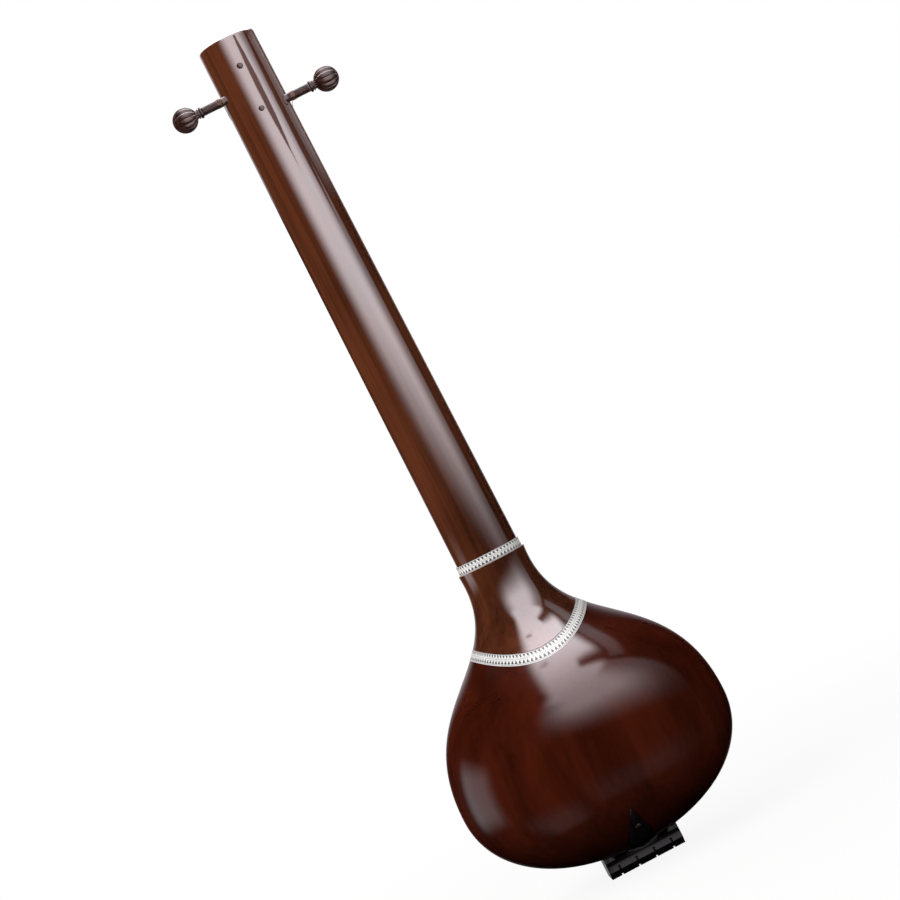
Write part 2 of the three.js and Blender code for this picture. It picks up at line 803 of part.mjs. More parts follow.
function pegHole(depth) {
  const slope = (pegEntryRadius - pegTipRadiusAt(depth)) / depth;
  const extra = clearance * 2;
  return turned([
    [-depth - extra, pegTipRadiusAt(depth) - slope * extra + clearance],
    [0, pegEntryRadius + clearance],
    [clearance * 2, pegShaftRadius + clearance],
    [overrun, pegShaftRadius + clearance],
  ]);
}

// Each peg: its name, where it enters the head, the way it points, its depth and its string
const sidePegY = faceY + sidePegSetback;
const sideEntryShare = Math.sqrt(1 - Math.pow((sidePegY - neckAxisY) / neckBackDepth, 2));
const frontPegDepth = neckAxisSetback + neckBackDepth + pegTipProud;

function frontPeg(name, belowTop, string, windingStart) {
  const place = new THREE.Vector3(0, faceY, overallLength - belowTop);
  return { name, place, way: Y.clone().negate(), depth: frontPegDepth, string, windingStart };
}

function sidePeg(name, belowTop, string, sign) {
  const height = overallLength - belowTop;
  const entry = neckHalfAt(height) * sideEntryShare;
  const place = new THREE.Vector3(sign * entry, sidePegY, height);
  const depth = entry - pegShaftRadius - sidePegTipGap;
  return { name, place, way: X.clone().multiplyScalar(sign), depth, string, windingStart: sideWindingStart };
}

const frontPegs = [
  frontPeg("front_lower", lowerPegsBelowTop, 2, frontLowerWindingStart),
  frontPeg("front_upper", frontUpperPegBelowTop, 1, frontUpperWindingStart),
];
const pegs = [
  ...frontPegs,
  sidePeg("side_lower", lowerPegsBelowTop, 0, -1),
  sidePeg("side_upper", sideUpperPegBelowTop, 3, 1),
];
const pegHoles = pegs.map((peg) => solidOf(pegHole(peg.depth), standAt(peg.place, peg.way)));
const tipBore = pegTipRadiusAt(frontPegDepth) + clearance;
const frontPegThroughs = frontPegs.map((peg) =>
  holeY(0, peg.place.z, tipBore, neckAxisY, neckAxisY + bodySpan),
);

const neckBandHigh = neckLow + neckBandWidth;
const neckBandCore = neckBandProud - neckBandThickness;
const neckBandRebate = neckLoft(cutterReach, bodyJointHeight - overrun, neckBandHigh + clearance).subtract(
  neckLoft(neckBandCore - clearance, bodyJointHeight - overrun * 2, overallLength),
);
let neck = neckOuter
  .subtract(neckChannel)
  .subtract(inFrontOf(faceY + faceplateThickness + clearance))
  .subtract(neckBandRebate);
for (const hole of [...pegHoles, ...frontPegThroughs]) neck = neck.subtract(hole);
addPiece("neck", neck, lacqueredWood);

let faceplate = neckOuter.intersect(slab(faceY, faceY + faceplateThickness));
for (const hole of pegHoles) faceplate = faceplate.subtract(hole);
addPiece("neck_faceplate", faceplate, boardWood);

const neckBand = neckLoft(neckBandProud, neckLow, neckBandHigh)
  .subtract(neckLoft(neckBandCore, bodyJointHeight - overrun, overallLength))
  .subtract(inFrontOf(faceY + faceplateThickness + clearance));
addPiece("neck_band", neckBand, ivoryWhite);

// Inner blocks: the tongue that joins neck and shoulder, and the block that the tail block is screwed to
const bodyInside = bodyLoft(-gourdWall - clearance, inside);
const behindBoard = inFrontOf(faceY + Math.max(boardThickness, faceplateThickness) + clearance * 2);
const tongueLow = bodyJointHeight - jointBlockBelow;
const tongueHigh = bodyJointHeight + jointBlockAbove;
const tongueCore = neckLoft(-neckWall - clearance, tongueLow, tongueHigh);
const tongueBelow = bodyInside.intersect(between(tongueLow, neckLow)).intersect(tongueCore);
const jointBlock = tongueBelow
  .add(tongueCore.intersect(between(bodyJointHeight - clearance, overallLength)))
  .subtract(behindBoard);
addPiece("neck_joint_block", jointBlock, rawWood);

let innerBlock = bodyInside.intersect(
  block(
    [-innerBlockWidth / 2, -innerBlockDepth / 2, gourdLift],
    [innerBlockWidth / 2, innerBlockDepth / 2, innerBlockLow + innerBlockHeight],
  ),
);
for (const hole of blockScrewHoles) innerBlock = innerBlock.subtract(hole);
addPiece("inner_tail_block", innerBlock, rawWood);

// Tail block: its profile along X, hollowed to the gourd, with a slot for each string
let tailBlock = prismX(tailProfile(0), -tailBlockWidth / 2, tailBlockWidth / 2);
tailBlock = tailBlock.subtract(bodyLoft(clearance));
const slotCore = prismX(tailProfile(slotDepth), -tailBlockWidth, tailBlockWidth);
for (const x of tailXs) {
  const reach = block(
    [x - slotWidth / 2, -footHalfDepth - overrun, -overrun],
    [x + slotWidth / 2, tailBackDepth + overrun, slotTopHeight],
  );
  const hitchHoleEnd = tailBackDepth - hitchPinLength - clearance * 2;
  tailBlock = tailBlock
    .subtract(reach.subtract(slotCore))
    .subtract(holeY(x, hitchPinHeight, hitchPinShankRadius + clearance, hitchHoleEnd, overrun));
}
for (const hole of blockScrewHoles) tailBlock = tailBlock.subtract(hole);
const blockPinX = tailBlockWidth / 2 - blockPinInset;
for (const side of [-1, 1]) {
  const pinHoleEnd = tailBackDepth - blockPinLength - clearance * 2;
  const headRadius = blockScrewHeadRadius + clearance;
  tailBlock = tailBlock
    .subtract(holeZ(side * blockScrewX, 0, headRadius, -overrun, blockScrewSink + clearance))
    .subtract(holeY(side * blockPinX, blockPinHeight, blockPinShankRadius + clearance, pinHoleEnd, overrun));
}
addPiece("tail_block", tailBlock, blackWood);

const blockScrewSizes = [blockScrewHeadRadius, blockScrewHeadHeight, blockScrewShankRadius, blockScrewLength];
["left", "right"].forEach((side, i) => {
  const sign = [1, -1][i];
  const screw = domedPin(...blockScrewSizes);
  const screwPlace = new THREE.Vector3(sign * blockScrewX, 0, blockScrewSink);
  addPlaced(`block_screw_${side}`, screw, steel, standAt(screwPlace, Z.clone().negate()));
  const pin = domedPin(blockPinHeadRadius, blockPinHeadHeight, blockPinShankRadius, blockPinLength);
  const pinPlace = new THREE.Vector3(sign * blockPinX, tailBackDepth + clearance, blockPinHeight);
  addPlaced(`block_pin_${side}`, pin, brass, standAt(pinPlace, Y));
});

const hitchPinSizes = [hitchPinHeadRadius, hitchPinHeadHeight, hitchPinShankRadius, hitchPinLength];
tailXs.forEach((x, i) => {
  const pin = domedPin(...hitchPinSizes, hitchPinStandOut);
  const place = new THREE.Vector3(x, tailBackDepth, hitchPinHeight);
  addPlaced(`hitch_pin_${i + 1}`, pin, brass, standAt(place, Y));
});

// Leaf: a pointed arch laid on the gourd's back, thickest along its ridge
function leaf() {
  const startT = outlineSearch((t) => backPoint(t, 0, 0).y < tailBackDepth);
  const startHeight = outlineAt(startT)[1];
  const endT = parameterAtHeight(leafTipHeight);
  const pointedness = 2.6;
  const widthShares = [-1, -leafSideShare, 0, leafSideShare, 1];
  const rings = [];
  for (let i = 0; i < leafRings; i++) {
    const t = THREE.MathUtils.lerp(startT, endT, i / leafRings);
    const rise = (outlineAt(t)[1] - startHeight) / (leafTipHeight - startHeight);
    const half = leafHalfWidth * (1 - Math.pow(rise, pointedness));
    const ridge = THREE.MathUtils.lerp(leafRidgeThickness, leafEdgeThickness, rise * rise);
    const low = widthShares.map((w) => backPoint(t, w * half, clearance));
    const high = widthShares.map((w) => {
      const thickness = THREE.MathUtils.lerp(ridge, leafEdgeThickness, Math.abs(w));
      return backPoint(t, w * half, clearance + thickness);
    });
    rings.push([...low, ...high.reverse()]);
  }
  rings.push([backPoint(endT, 0, leafEdgeThickness)]);
  return solidOf(loft(rings));
}
const tailBlockSpace = slab(faceY, tailBackDepth + clearance);
addPiece("tail_leaf", leaf().subtract(leafScrewHole).subtract(tailBlockSpace), blackWood);
addPlaced(
  "leaf_screw",
  domedPin(leafScrewHeadRadius, leafScrewHeadHeight, leafScrewShankRadius, leafScrewLength),
  brass,
  leafScrewMatrix,
);

// Strings, from the hitch pins to the pegs, with the windings that carry them on round the shafts
// Where a string from a point meets a peg's winding: the tangent point, and the way the string then runs
function tangentTo(peg, from, height, radius, turn) {
  const middle = peg.place.clone().addScaledVector(peg.way, height);
  const flat = middle.clone().sub(from);
  flat.addScaledVector(peg.way, -flat.dot(peg.way));
  const distance = flat.length();
  const run = Math.sqrt(distance * distance - radius * radius);
  const ahead = flat.clone().normalize();
  const aside = new THREE.Vector3().crossVectors(peg.way, ahead).multiplyScalar(turn);
  const sine = radius / distance;
  const cosine = run / distance;
  const way = ahead.clone().multiplyScalar(cosine).addScaledVector(aside, sine);
  const out = aside.clone().multiplyScalar(cosine).addScaledVector(ahead, -sine);
  return { middle, out, way, point: middle.clone().addScaledVector(out, radius) };
}

// The turns start beside the string's end, so that they clear it while the peg turns
function windingPoints(peg, touch, radius) {
  const points = [];
  for (let i = 0; i <= windingLoops * loopSteps; i++) {
    const angle = (2 * Math.PI * i) / loopSteps;
    const along = besideString + (windingPitch * i) / loopSteps;
    const point = touch.middle.clone().addScaledVector(peg.way, along);
    point.addScaledVector(touch.out, radius * Math.cos(angle));
    point.addScaledVector(touch.way, radius * Math.sin(angle));
    points.push(point);
  }
  const first = points[0].clone().addScaledVector(touch.way, -stringRadius * 2);
  const last = points[points.length - 1].clone().addScaledVector(touch.way, stringRadius * 2);
  return [first, ...points, last];
}

// The least gap that a winding keeps to itself, from its points half a loop or more apart
function leastGap(points) {
  let least = Infinity;
  for (let i = 0; i < points.length; i++) {
    for (let j = i + loopSteps / 2; j < points.length; j++) {
      least = Math.min(least, points[i].distanceTo(points[j]));
    }
  }
  return least - stringRadius * 2;
}

const windingRadius = pegShaftRadius + clearance + stringRadius;
const besideString = stringRadius * 2 + clearance;
const guideStringY = faceY - clearance - guideHoleStandOff;
const stringFinishes = [bronzeWire, steel, steel, bronzeWire];

// The way over the neck's rounded corner to a side peg, just clear of the wood
function cornerRoute(peg, i) {
  const sign = Math.sign(peg.way.x);
  const cornerZ = THREE.MathUtils.lerp(guideHeightOnBody, peg.place.z, neckCornerShare);
  const faceHalf = neckHalfAt(cornerZ) * Math.sqrt(1 - Math.pow(neckAxisSetback / neckFrontDepth, 2));
  const across = Math.abs(peg.place.x) + peg.windingStart - Math.abs(nutXs[i]);
  const slope = (peg.place.z - guideHeightOnBody) / across;
  const offsetShares = [[-1.3, -1.25], [0.9, -0.9], [1.6, 1]];
  return offsetShares.map(([outShare, backShare]) => {
    const out = stringGroove * outShare;
    const y = faceY + stringGroove * backShare;
    return new THREE.Vector3(sign * (faceHalf + out), y, cornerZ + out * slope);
  });
}

// The whole way of a string up to its guide hole, and on to the head's pegs
function neckRoute(peg, i) {
  const holeLow = guideHeightOnBody - nutThickness;
  const holeHigh = guideHeightOnBody + nutThickness;
  const route = [
    new THREE.Vector3(nutXs[i], nutStringY, nutHeightOnBody),
    new THREE.Vector3(nutXs[i], guideStringY, holeLow),
    new THREE.Vector3(nutXs[i], guideStringY, holeHigh),
  ];
  return peg.way.x === 0 ? route : [...route, ...cornerRoute(peg, i)];
}

for (const peg of pegs) {
  const i = peg.string;
  const route = [...tailRoute(i), ...neckRoute(peg, i)];
  const turn = -Math.sign(peg.way.x === 0 ? nutXs[i] : peg.way.x);
  const stringHeight = peg.windingStart - besideString;
  const touch = tangentTo(peg, route[route.length - 1], stringHeight, windingRadius, turn);
  route.push(touch.point);
  addPiece(`string_${i + 1}`, tube(route, stringRadius), stringFinishes[i]);
  const points = windingPoints(peg, touch, windingRadius);
  console.log(`winding of string ${i + 1}: least gap to itself ${leastGap(points).toFixed(3)} mm`);
  addPiece(`winding_${i + 1}`, tube(points, stringRadius), stringFinishes[i]);
  const head = new THREE.Group();
  head.applyMatrix4(standAt(peg.place, peg.way));
  tanpura.add(head);
  addPiece(`peg_${peg.name}`, pegShape(peg.depth), pegWood, head);
}

// Tail saddle: the gourd's own curve carried on in front of the rim, with a groove for each string
let saddle = bodyLoft(saddleOverhang).intersect(
  block(
    [-saddleHalf, saddleTopY, -overrun],
    [saddleHalf, faceY - clearance, saddleTopHeight],
  ),
);
tailXs.forEach((_, i) => {
  saddle = saddle.subtract(solidOf(tube(tailRoute(i), stringGroove)));
});
addPiece("tail_saddle", saddle, bone);

// Bridge: an arched base on two feet, and a plate whose top is curved along the strings
function bridgeBase() {
  const half = bridgeHalf;
  const innerHalf = half - bridgeFootWidth;
  const topHalf = half - bridgeTopInset;
  const shape = new THREE.Shape();
  shape.moveTo(-half, 0);
  shape.lineTo(-innerHalf, 0);
  shape.quadraticCurveTo(-innerHalf + bridgeArchHeight / 2, bridgeArchHeight, 0, bridgeArchHeight);
  shape.quadraticCurveTo(innerHalf - bridgeArchHeight / 2, bridgeArchHeight, innerHalf, 0);
  shape.lineTo(half, 0);
  shape.quadraticCurveTo(topHalf, bridgeBaseHeight / 2, topHalf, bridgeBaseHeight);
  shape.lineTo(-topHalf, bridgeBaseHeight);
  shape.quadraticCurveTo(-topHalf, bridgeBaseHeight / 2, -half, 0);
  const settings = { depth: bridgeLength, bevelEnabled: false, curveSegments: archSteps };
  const geometry = new THREE.ExtrudeGeometry(shape, settings);
  const matrix = new THREE.Matrix4().makeBasis(X, Y.clone().negate(), Z.clone().negate());
  matrix.setPosition(0, bridgeFootY, bridgeHeightOnBody + bridgeLength / 2);
  return solidOf(geometry, matrix);
}
addPiece("bridge_base", bridgeBase(), pegWood);

function bridgePlate() {
  const half = bridgeLength / 2;
  const top = Array.from({ length: archSteps + 1 }, (_, i) => {
    const z = half * (1 - (2 * i) / archSteps);
    return [plateTopY + (z * z) / (2 * bridgePlateRadius), bridgeHeightOnBody + z];
  });
  const outline = [[plateFootY, bridgeHeightOnBody + half], ...top, [plateFootY, bridgeHeightOnBody - half]];
  const halfWidth = bridgeHalf - bridgeTopInset;
  return prismX(outline, -halfWidth, halfWidth);
}
addPiece("bridge_plate", bridgePlate(), bone);

bridgeXs.forEach((x, i) => {
  const height = bridgeHeightOnBody + threadOffset;
  const drop = (threadOffset * threadOffset) / (2 * bridgePlateRadius);
  const y = plateTopY + drop - clearance - threadRadius;
  const middleX = speakingX(i, height);
  const ends = [-1, 1].map((side) => new THREE.Vector3(middleX + (side * threadLength) / 2, y, height));
  addPiece(`bridge_thread_${i + 1}`, tube(ends, threadRadius), cotton);
});

// Nut and guide: two bars across the faceplate, one notched and one drilled for the strings
function crossBar(height, standOff) {
  return block(
    [-nutHalf, faceY - clearance - standOff, height - nutThickness / 2],
    [nutHalf, faceY - clearance, height + nutThickness / 2],
  );
}

let nut = crossBar(nutHeightOnBody, nutStandOff);
let guide = crossBar(guideHeightOnBody, guideStandOff);
const guideHole = turned([[-nutThickness, guideHoleRadius], [nutThickness, guideHoleRadius]], smallSides);
nutXs.forEach((x, i) => {
  const before = nutHeightOnBody - nutThickness;
  const way = [
    new THREE.Vector3(speakingX(i, before), speakingY(before), before),
    new THREE.Vector3(x, nutStringY, nutHeightOnBody),
    new THREE.Vector3(x, guideStringY, guideHeightOnBody - nutThickness),
  ];
  nut = nut.subtract(solidOf(tube(way, stringGroove)));
  const holePlace = new THREE.Matrix4().makeTranslation(x, guideStringY, guideHeightOnBody);
  guide = guide.subtract(solidOf(guideHole, holePlace));
});
addPiece("string_nut", nut, bone);
addPiece("string_guide", guide, bone);

// Tuning beads: each slides on its string between the saddle and the bridge
tailXs.forEach((_, i) => {
  const [start, end] = tailRoute(i).slice(-2);
  const share = (beadHeightOnBody - start.z) / (end.z - start.z);
  const way = end.clone().sub(start).normalize();
  const beadRings = 6;
  const bore = stringGroove;
  const profile = [];
  for (let k = 1; k < beadRings; k++) {
    const tilt = Math.PI * (k / beadRings - 0.5);
    profile.push([(beadLength / 2) * Math.sin(tilt), beadRadius * Math.cos(tilt)]);
  }
  const boreShape = turned([[-beadLength, bore], [beadLength, bore]], smallSides);
  const bead = solidOf(turned(profile, smallSides)).subtract(solidOf(boreShape));
  addPlaced(`tuning_bead_${i + 1}`, geometryOf(bead), glassBead, standAt(start.lerp(end, share), way));
});

export default tanpura;
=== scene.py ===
"""A tanpura, a long-necked drone lute: its finished surfaces, built around the frame of its pieces.

Metres, +Z up along the neck, the strings on the -Y side, the tail block's foot on the floor at zero.
"""

import math

import bpy
import numpy as np
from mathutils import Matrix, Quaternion, Vector


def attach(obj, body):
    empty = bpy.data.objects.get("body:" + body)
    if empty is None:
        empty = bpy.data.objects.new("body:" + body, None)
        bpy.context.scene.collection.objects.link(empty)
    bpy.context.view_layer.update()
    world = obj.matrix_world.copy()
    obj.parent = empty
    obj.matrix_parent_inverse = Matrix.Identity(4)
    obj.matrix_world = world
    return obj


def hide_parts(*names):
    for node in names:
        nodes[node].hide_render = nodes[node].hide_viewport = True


bl_info = {
    "name": "Tanpura",
    "version": (1, 0, 0),
    "blender": (4, 5, 0),
    "location": "View3D > Sidebar > Tanpura",
    "description": "Builds the finished surfaces of a tanpura around the frame of its pieces",
    "category": "Object",
}

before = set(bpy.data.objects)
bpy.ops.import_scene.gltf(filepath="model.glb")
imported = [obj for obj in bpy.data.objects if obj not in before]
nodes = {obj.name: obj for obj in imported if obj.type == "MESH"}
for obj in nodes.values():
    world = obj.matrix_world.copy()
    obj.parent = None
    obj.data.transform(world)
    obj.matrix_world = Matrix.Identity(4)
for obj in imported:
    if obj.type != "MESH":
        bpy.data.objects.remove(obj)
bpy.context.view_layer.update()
STRINGS = (1, 2, 3, 4)
PEGS = ("front_lower", "front_upper", "side_lower", "side_upper")


# Properties: the sizes and colours that a user would change


def length(description, default):
    """A length property, in metres."""
    return bpy.props.FloatProperty(
        description=description, default=default, unit="LENGTH", subtype="DISTANCE"
    )


def colour(description, default):
    """A colour property, with linear channels."""
    return bpy.props.FloatVectorProperty(
        description=description, default=default, size=3, min=0, max=1, subtype="COLOR"
    )


def number(description, default):
    """A plain number property."""
    return bpy.props.FloatProperty(description=description, default=default)


def turn(description, degrees):
    """An angle property, given in degrees."""
    return bpy.props.FloatProperty(
        description=description, default=math.radians(degrees), unit="ROTATION", subtype="ANGLE"
    )


def labelled(group):
    """Labels each property of a group with its own name in plain words."""
    for name, setting in group.__annotations__.items():
        setting.keywords["name"] = name.replace("_", " ").capitalize()
    return group


@labelled
class TanpuraBody(bpy.types.PropertyGroup):
    """Sizes of the gourd, the shoulder and the soundboard."""

    gourd_width: length("Across the gourd at its widest", 0.3768)
    gourd_lift: length("Height of the gourd's lowest point", 0.025)
    gourd_rise: length("From the lowest point to the widest place", 0.130)
    gourd_back: length("Depth behind the gourd's axis", 0.160)
    gourd_front: length("Depth before the gourd's axis, if it weren't cut flat", 0.178)
    gourd_axis: length("How far the gourd's axis lies behind the origin", 0.006)
    roundness: number("Power of the gourd's lower curve; 2 is an ellipse", 2.15)
    wall: length("Thickness of the gourd's wall", 0.008)
    face: length("Place of the soundboard's rim along Y", -0.064)
    shoulder_top: length("Height where the shoulder meets the neck", 0.433)
    shoulder_half: length("Half the shoulder's width at its top", 0.048)
    waist_half: length("How near the shoulder's curve is drawn to the axis", 0.0345)
    gourd_reach: length("How long the curve keeps the gourd's direction", 0.162)
    waist_reach: length("How long the curve keeps the neck's direction", 0.134)
    board: length("Thickness of the soundboard", 0.004)
    crown: length("How far the soundboard swells forward", 0.006)
    binding: length("Width of the strip round the soundboard", 0.0024)
    gap: length("Gap that touching pieces keep", 0.0003)


@labelled
class TanpuraNeck(bpy.types.PropertyGroup):
    """Sizes of the neck."""

    top: length("Height of the head's end", 1.200)
    foot_half: length("Half the neck's width at its foot", 0.044)
    top_half: length("Half the neck's width at the head", 0.0395)
    axis: length("Place of the neck's axis along Y", -0.054)
    back: length("Depth behind the neck's axis", 0.038)
    front: length("Depth before the neck's axis, if it weren't cut flat", 0.040)
    wall: length("Thickness of the neck's wall", 0.009)
    edge_round: length("Radius of the head's edge", 0.004)
    plate: length("Thickness of the faceplate", 0.005)


@labelled
class TanpuraBands(bpy.types.PropertyGroup):
    """Sizes of the two inlaid bands and of their ornament."""

    neck_width: length("Height of the straight band", 0.0126)
    neck_proud: length("How far the straight band stands out", 0.0016)
    gourd_width: length("Width of the bowed band", 0.014)
    gourd_proud: length("How far the bowed band stands out", 0.0004)
    gourd_height: length("Height of the bowed band's middle at the back", 0.3050)
    gourd_bow: length("How far the bowed band rises to the silhouette", 0.036)
    gourd_span: length("Half the width over which it rises", 0.087)
    sunk: length("How deep the bands are let in", 0.0010)
    pitch: length("From one triangle of the ornament to the next", 0.0056)


@labelled
class TanpuraPegs(bpy.types.PropertyGroup):
    """Sizes of the tuning pegs."""

    shaft: length("Radius of the shaft outside the head", 0.0058)
    tip: length("Radius of the tip at the head's back", 0.0042)
    lower_proud: length("How far the lower front peg comes out behind", 0.0008)
    upper_proud: length("How far the upper front peg comes out behind", 0.0022)
    exposed: length("Length of shaft between the head and the ball", 0.041)
    ball: length("Radius of the ribbed ball", 0.017)
    rib_depth: length("Depth of the grooves between the ribs", 0.0019)
    ribs: bpy.props.IntProperty(description="Ribs round the ball", default=12)
    ring: length("Radius of the turned ring beside the ball", 0.0078)
    lower_below_top: length("How far the lower pegs are below the head's end", 0.105)
    side_upper_below_top: length("How far the upper side peg is below the head's end", 0.072)
    front_upper_below_top: length("How far the upper front peg is below the head's end", 0.043)
    side_setback: length("How far the side pegs are behind the face", 0.025)


@labelled
class TanpuraTail(bpy.types.PropertyGroup):
    """Sizes of the tail block and of the leaf above it."""

    width: length("Width of the tail block", 0.106)
    height: length("Height of the tail block's ends before it is hollowed", 0.032)
    foot_half: length("Half the depth of the flat foot", 0.022)
    back: length("Place of the block's black face along Y", 0.028)
    strip: length("Height of the leaning strip below the black face", 0.009)
    flat: length("Height of the black face's upright part", 0.008)
    round_height: length("Height over which the black face turns over", 0.008)
    round_depth: length("Depth over which the black face turns over", 0.0055)
    ledge: length("Depth of the ledge above the black face", 0.003)
    ear: length("Width of the raised ears at the block's ends", 0.009)
    ear_slope: length("Width over which an ear comes down to the ledge", 0.006)
    ear_back: length("Place of the ears' faces along Y", 0.0262)
    bevel: length("Bevel of the front foot edge", 0.002)
    slot: length("Width and depth of the string slots", 0.0024)
    slot_top: length("Height where the slots end", 0.015)
    spacing: length("From string to string", 0.025)
    leaf_half: length("Half the leaf's width at its foot", 0.022)
    leaf_tip: length("Height of the leaf's tip", 0.0914)
    leaf_edge: length("Thickness of the leaf's edge", 0.0016)
    leaf_ridge: length("Thickness of the leaf along its ridge", 0.005)
    leaf_pointed: number("How straight the leaf's sides run to its tip; 1 is straight", 1.3)
    pin_inset: length("From the block's end to its corner pin", 0.0046)
    pin_height: length("Height of the corner pins", 0.0270)
    pin_radius: length("Radius of a corner pin's head", 0.0029)
    screw_height: length("Height of the leaf's screw", 0.0684)
    screw_radius: length("Radius of the leaf's screw's head", 0.0046)


@labelled
class TanpuraFinish(bpy.types.PropertyGroup):
    """Colours of the finishes."""

    wood_dark: colour("The lacquered wood between the grain's light streaks", (0.032, 0.0075, 0.0032))
    wood_light: colour("The grain's light streaks", (0.125, 0.034, 0.013))
    gourd_dark: colour("The gourd's darker patches", (0.023, 0.0027, 0.0007))
    gourd_light: colour("The gourd's lighter patches", (0.066, 0.0090, 0.0024))
    board_dark: colour("The soundboard's grain lines", (0.045, 0.013, 0.005))
    board_light: colour("The soundboard between its grain lines", (0.15, 0.050, 0.019))
    ivory: colour("The white of the inlaid bands", (0.90, 0.90, 0.89))
    ink: colour("The ornament's dark marks", (0.014, 0.010, 0.014))
    wash: colour("The ornament's grey leaves", (0.17, 0.17, 0.16))
    peg_dark: colour("The pegs' dark wood", (0.014, 0.0040, 0.0026))
    peg_light: colour("The pegs' worn wood", (0.075, 0.033, 0.022))
    black: colour("The tail block's polished black", (0.0045, 0.0035, 0.0040))
    bone: colour("Bridge plate, nut, guide and saddle", (0.72, 0.64, 0.48))
    raw: colour("The blocks inside", (0.42, 0.25, 0.12))
    brass: colour("Pins and screw heads", (0.15, 0.115, 0.075))
    steel: colour("Screws and steel strings", (0.45, 0.45, 0.46))
    bronze: colour("Bronze strings", (0.12, 0.072, 0.045))
    bead: colour("The tuning beads", (0.62, 0.52, 0.34))
    cotton: colour("The threads on the bridge", (0.78, 0.74, 0.64))


@labelled
class TanpuraStage(bpy.types.PropertyGroup):
    """The camera and the lamps."""

    azimuth: turn("Where the camera stands round the object; 0 is its front", 175.74)
    lean: turn("How far the head leans to the left in the picture", 27.1)
    distance: length("From the camera to the neck's axis", 3.4)
    aim_x: length("Across, the point that the camera looks at", -0.0156)
    aim_y: length("Along, the point that the camera looks at", -0.016)
    aim_z: length("Height of the point that the camera looks at", 0.5874)
    lens: number("Focal length for a 36 mm sensor, in millimetres", 104.53)
    ambient: number("Strength of the light from all round", 0.62)
    tent: length("Radius of the light tent that the lacquer mirrors", 0.64)
    tent_low: length("Height of the tent's foot, which only mirrors see", -1.3)
    tent_high: length("Height of the tent's ceiling", 2.6)
    window: number("Strength of the tent's window", 8.6)


# Modelling helpers


def deselect():
    """Nothing selected, in object mode."""
    if bpy.context.object and bpy.context.object.mode != "OBJECT":
        bpy.ops.object.mode_set(mode="OBJECT")
    bpy.ops.object.select_all(action="DESELECT")


def activate(piece):
    """Only this piece selected and active."""
    deselect()
    piece.select_set(True)
    bpy.context.view_layer.objects.active = piece


def points_of(piece):
    """The piece's vertices as an array."""
    flat = np.empty(len(piece.data.vertices) * 3)
    piece.data.vertices.foreach_get("co", flat)
    return flat.reshape(-1, 3)


def edit(piece, *steps):
    """Runs mesh operators, each given with its settings, on the whole piece in edit mode."""
    activate(piece)
    bpy.ops.object.mode_set(mode="EDIT")
    for operator, settings in steps:
        bpy.ops.mesh.select_all(action="SELECT")
        operator(**settings)
    bpy.ops.object.mode_set(mode="OBJECT")


MERGE = (bpy.ops.mesh.remove_doubles, {"threshold": 2e-6})
TURN_OUT = (bpy.ops.mesh.normals_make_consistent, {"inside": False})


def bent_grid(name, columns, rows, place):
    """A grid primitive bent over a surface: place takes each vertex's two shares and gives its point."""
    deselect()
    bpy.ops.mesh.primitive_grid_add(x_subdivisions=columns, y_subdivisions=rows, size=1, calc_uvs=True)
    piece = bpy.context.object
    piece.name = name
    piece.data.name = name
    flat = points_of(piece)
    placed = place(flat[:, 0] + 0.5, flat[:, 1] + 0.5)
    piece.data.vertices.foreach_set("co", np.asarray(placed).ravel())
    edit(piece, MERGE, TURN_OUT)
    return piece


def lofted(name, rings, capped=True):
    """A closed form through rings of points; caps close its first and last ring."""
    rings = [np.asarray(ring, float) for ring in rings]
    if capped:
        first, last = (np.tile(ring.mean(axis=0), (len(ring), 1)) for ring in (rings[0], rings[-1]))
        rings = [first, *rings, last]
    stack = np.stack(rings)
    rows, columns = len(rings) - 1, len(rings[0])

    def place(u, v):
        around = np.rint(u * columns).astype(int) % columns
        return stack[np.rint(v * rows).astype(int), around]

    return bent_grid(name, columns, rows, place)


def turned(name, profile, place, way, sides, groove=0.0):
    """A form turned about a line: rings given by height, radius and how deep the grooves go."""
    angles = np.arange(sides) * 2 * math.pi / sides
    turn_to = np.array(way.to_track_quat("Z", "Y").to_matrix())
    rings = []
    for level, out, depth in profile:
        radius = out - depth * groove
        x, y = radius * np.cos(angles), radius * np.sin(angles)
        local = np.stack([x, y, np.full(sides, level)], axis=-1)
        rings.append(local @ turn_to.T + np.array(place))
    return lofted(name, rings)


def prism(name, outline, low, high):
    """An outline in Y and Z, extruded along X from one plane to another."""
    deselect()
    bpy.ops.mesh.primitive_circle_add(vertices=len(outline), radius=1, fill_type="NGON")
    piece = bpy.context.object
    piece.name = name
    piece.data.name = name
    flat = [(low, y, z) for y, z in outline]
    piece.data.vertices.foreach_set("co", np.asarray(flat).ravel())
    extrusion = {"TRANSFORM_OT_translate": {"value": (high - low, 0, 0)}}
    edit(piece, (bpy.ops.mesh.extrude_region_move, extrusion), TURN_OUT)
    return piece


def modify(piece, kind, **settings):
    """Adds a modifier, sets it and applies it."""
    activate(piece)
    modifier = piece.modifiers.new(kind.title(), kind)
    for name, value in settings.items():
        setattr(modifier, name, value)
    bpy.ops.object.modifier_apply(modifier=modifier.name)


def thicken(piece, thickness):
    """Gives an open surface a wall on its inner side."""
    even = {"use_even_offset": True, "use_quality_normals": True}
    modify(piece, "SOLIDIFY", thickness=thickness, offset=-1, **even)


def bevel(piece, width, segments=3, angle=40):
    """Rounds the edges that are sharper than an angle."""
    sharp = {"limit_method": "ANGLE", "angle_limit": math.radians(angle)}
    modify(piece, "BEVEL", width=width, segments=segments, use_clamp_overlap=True, **sharp)


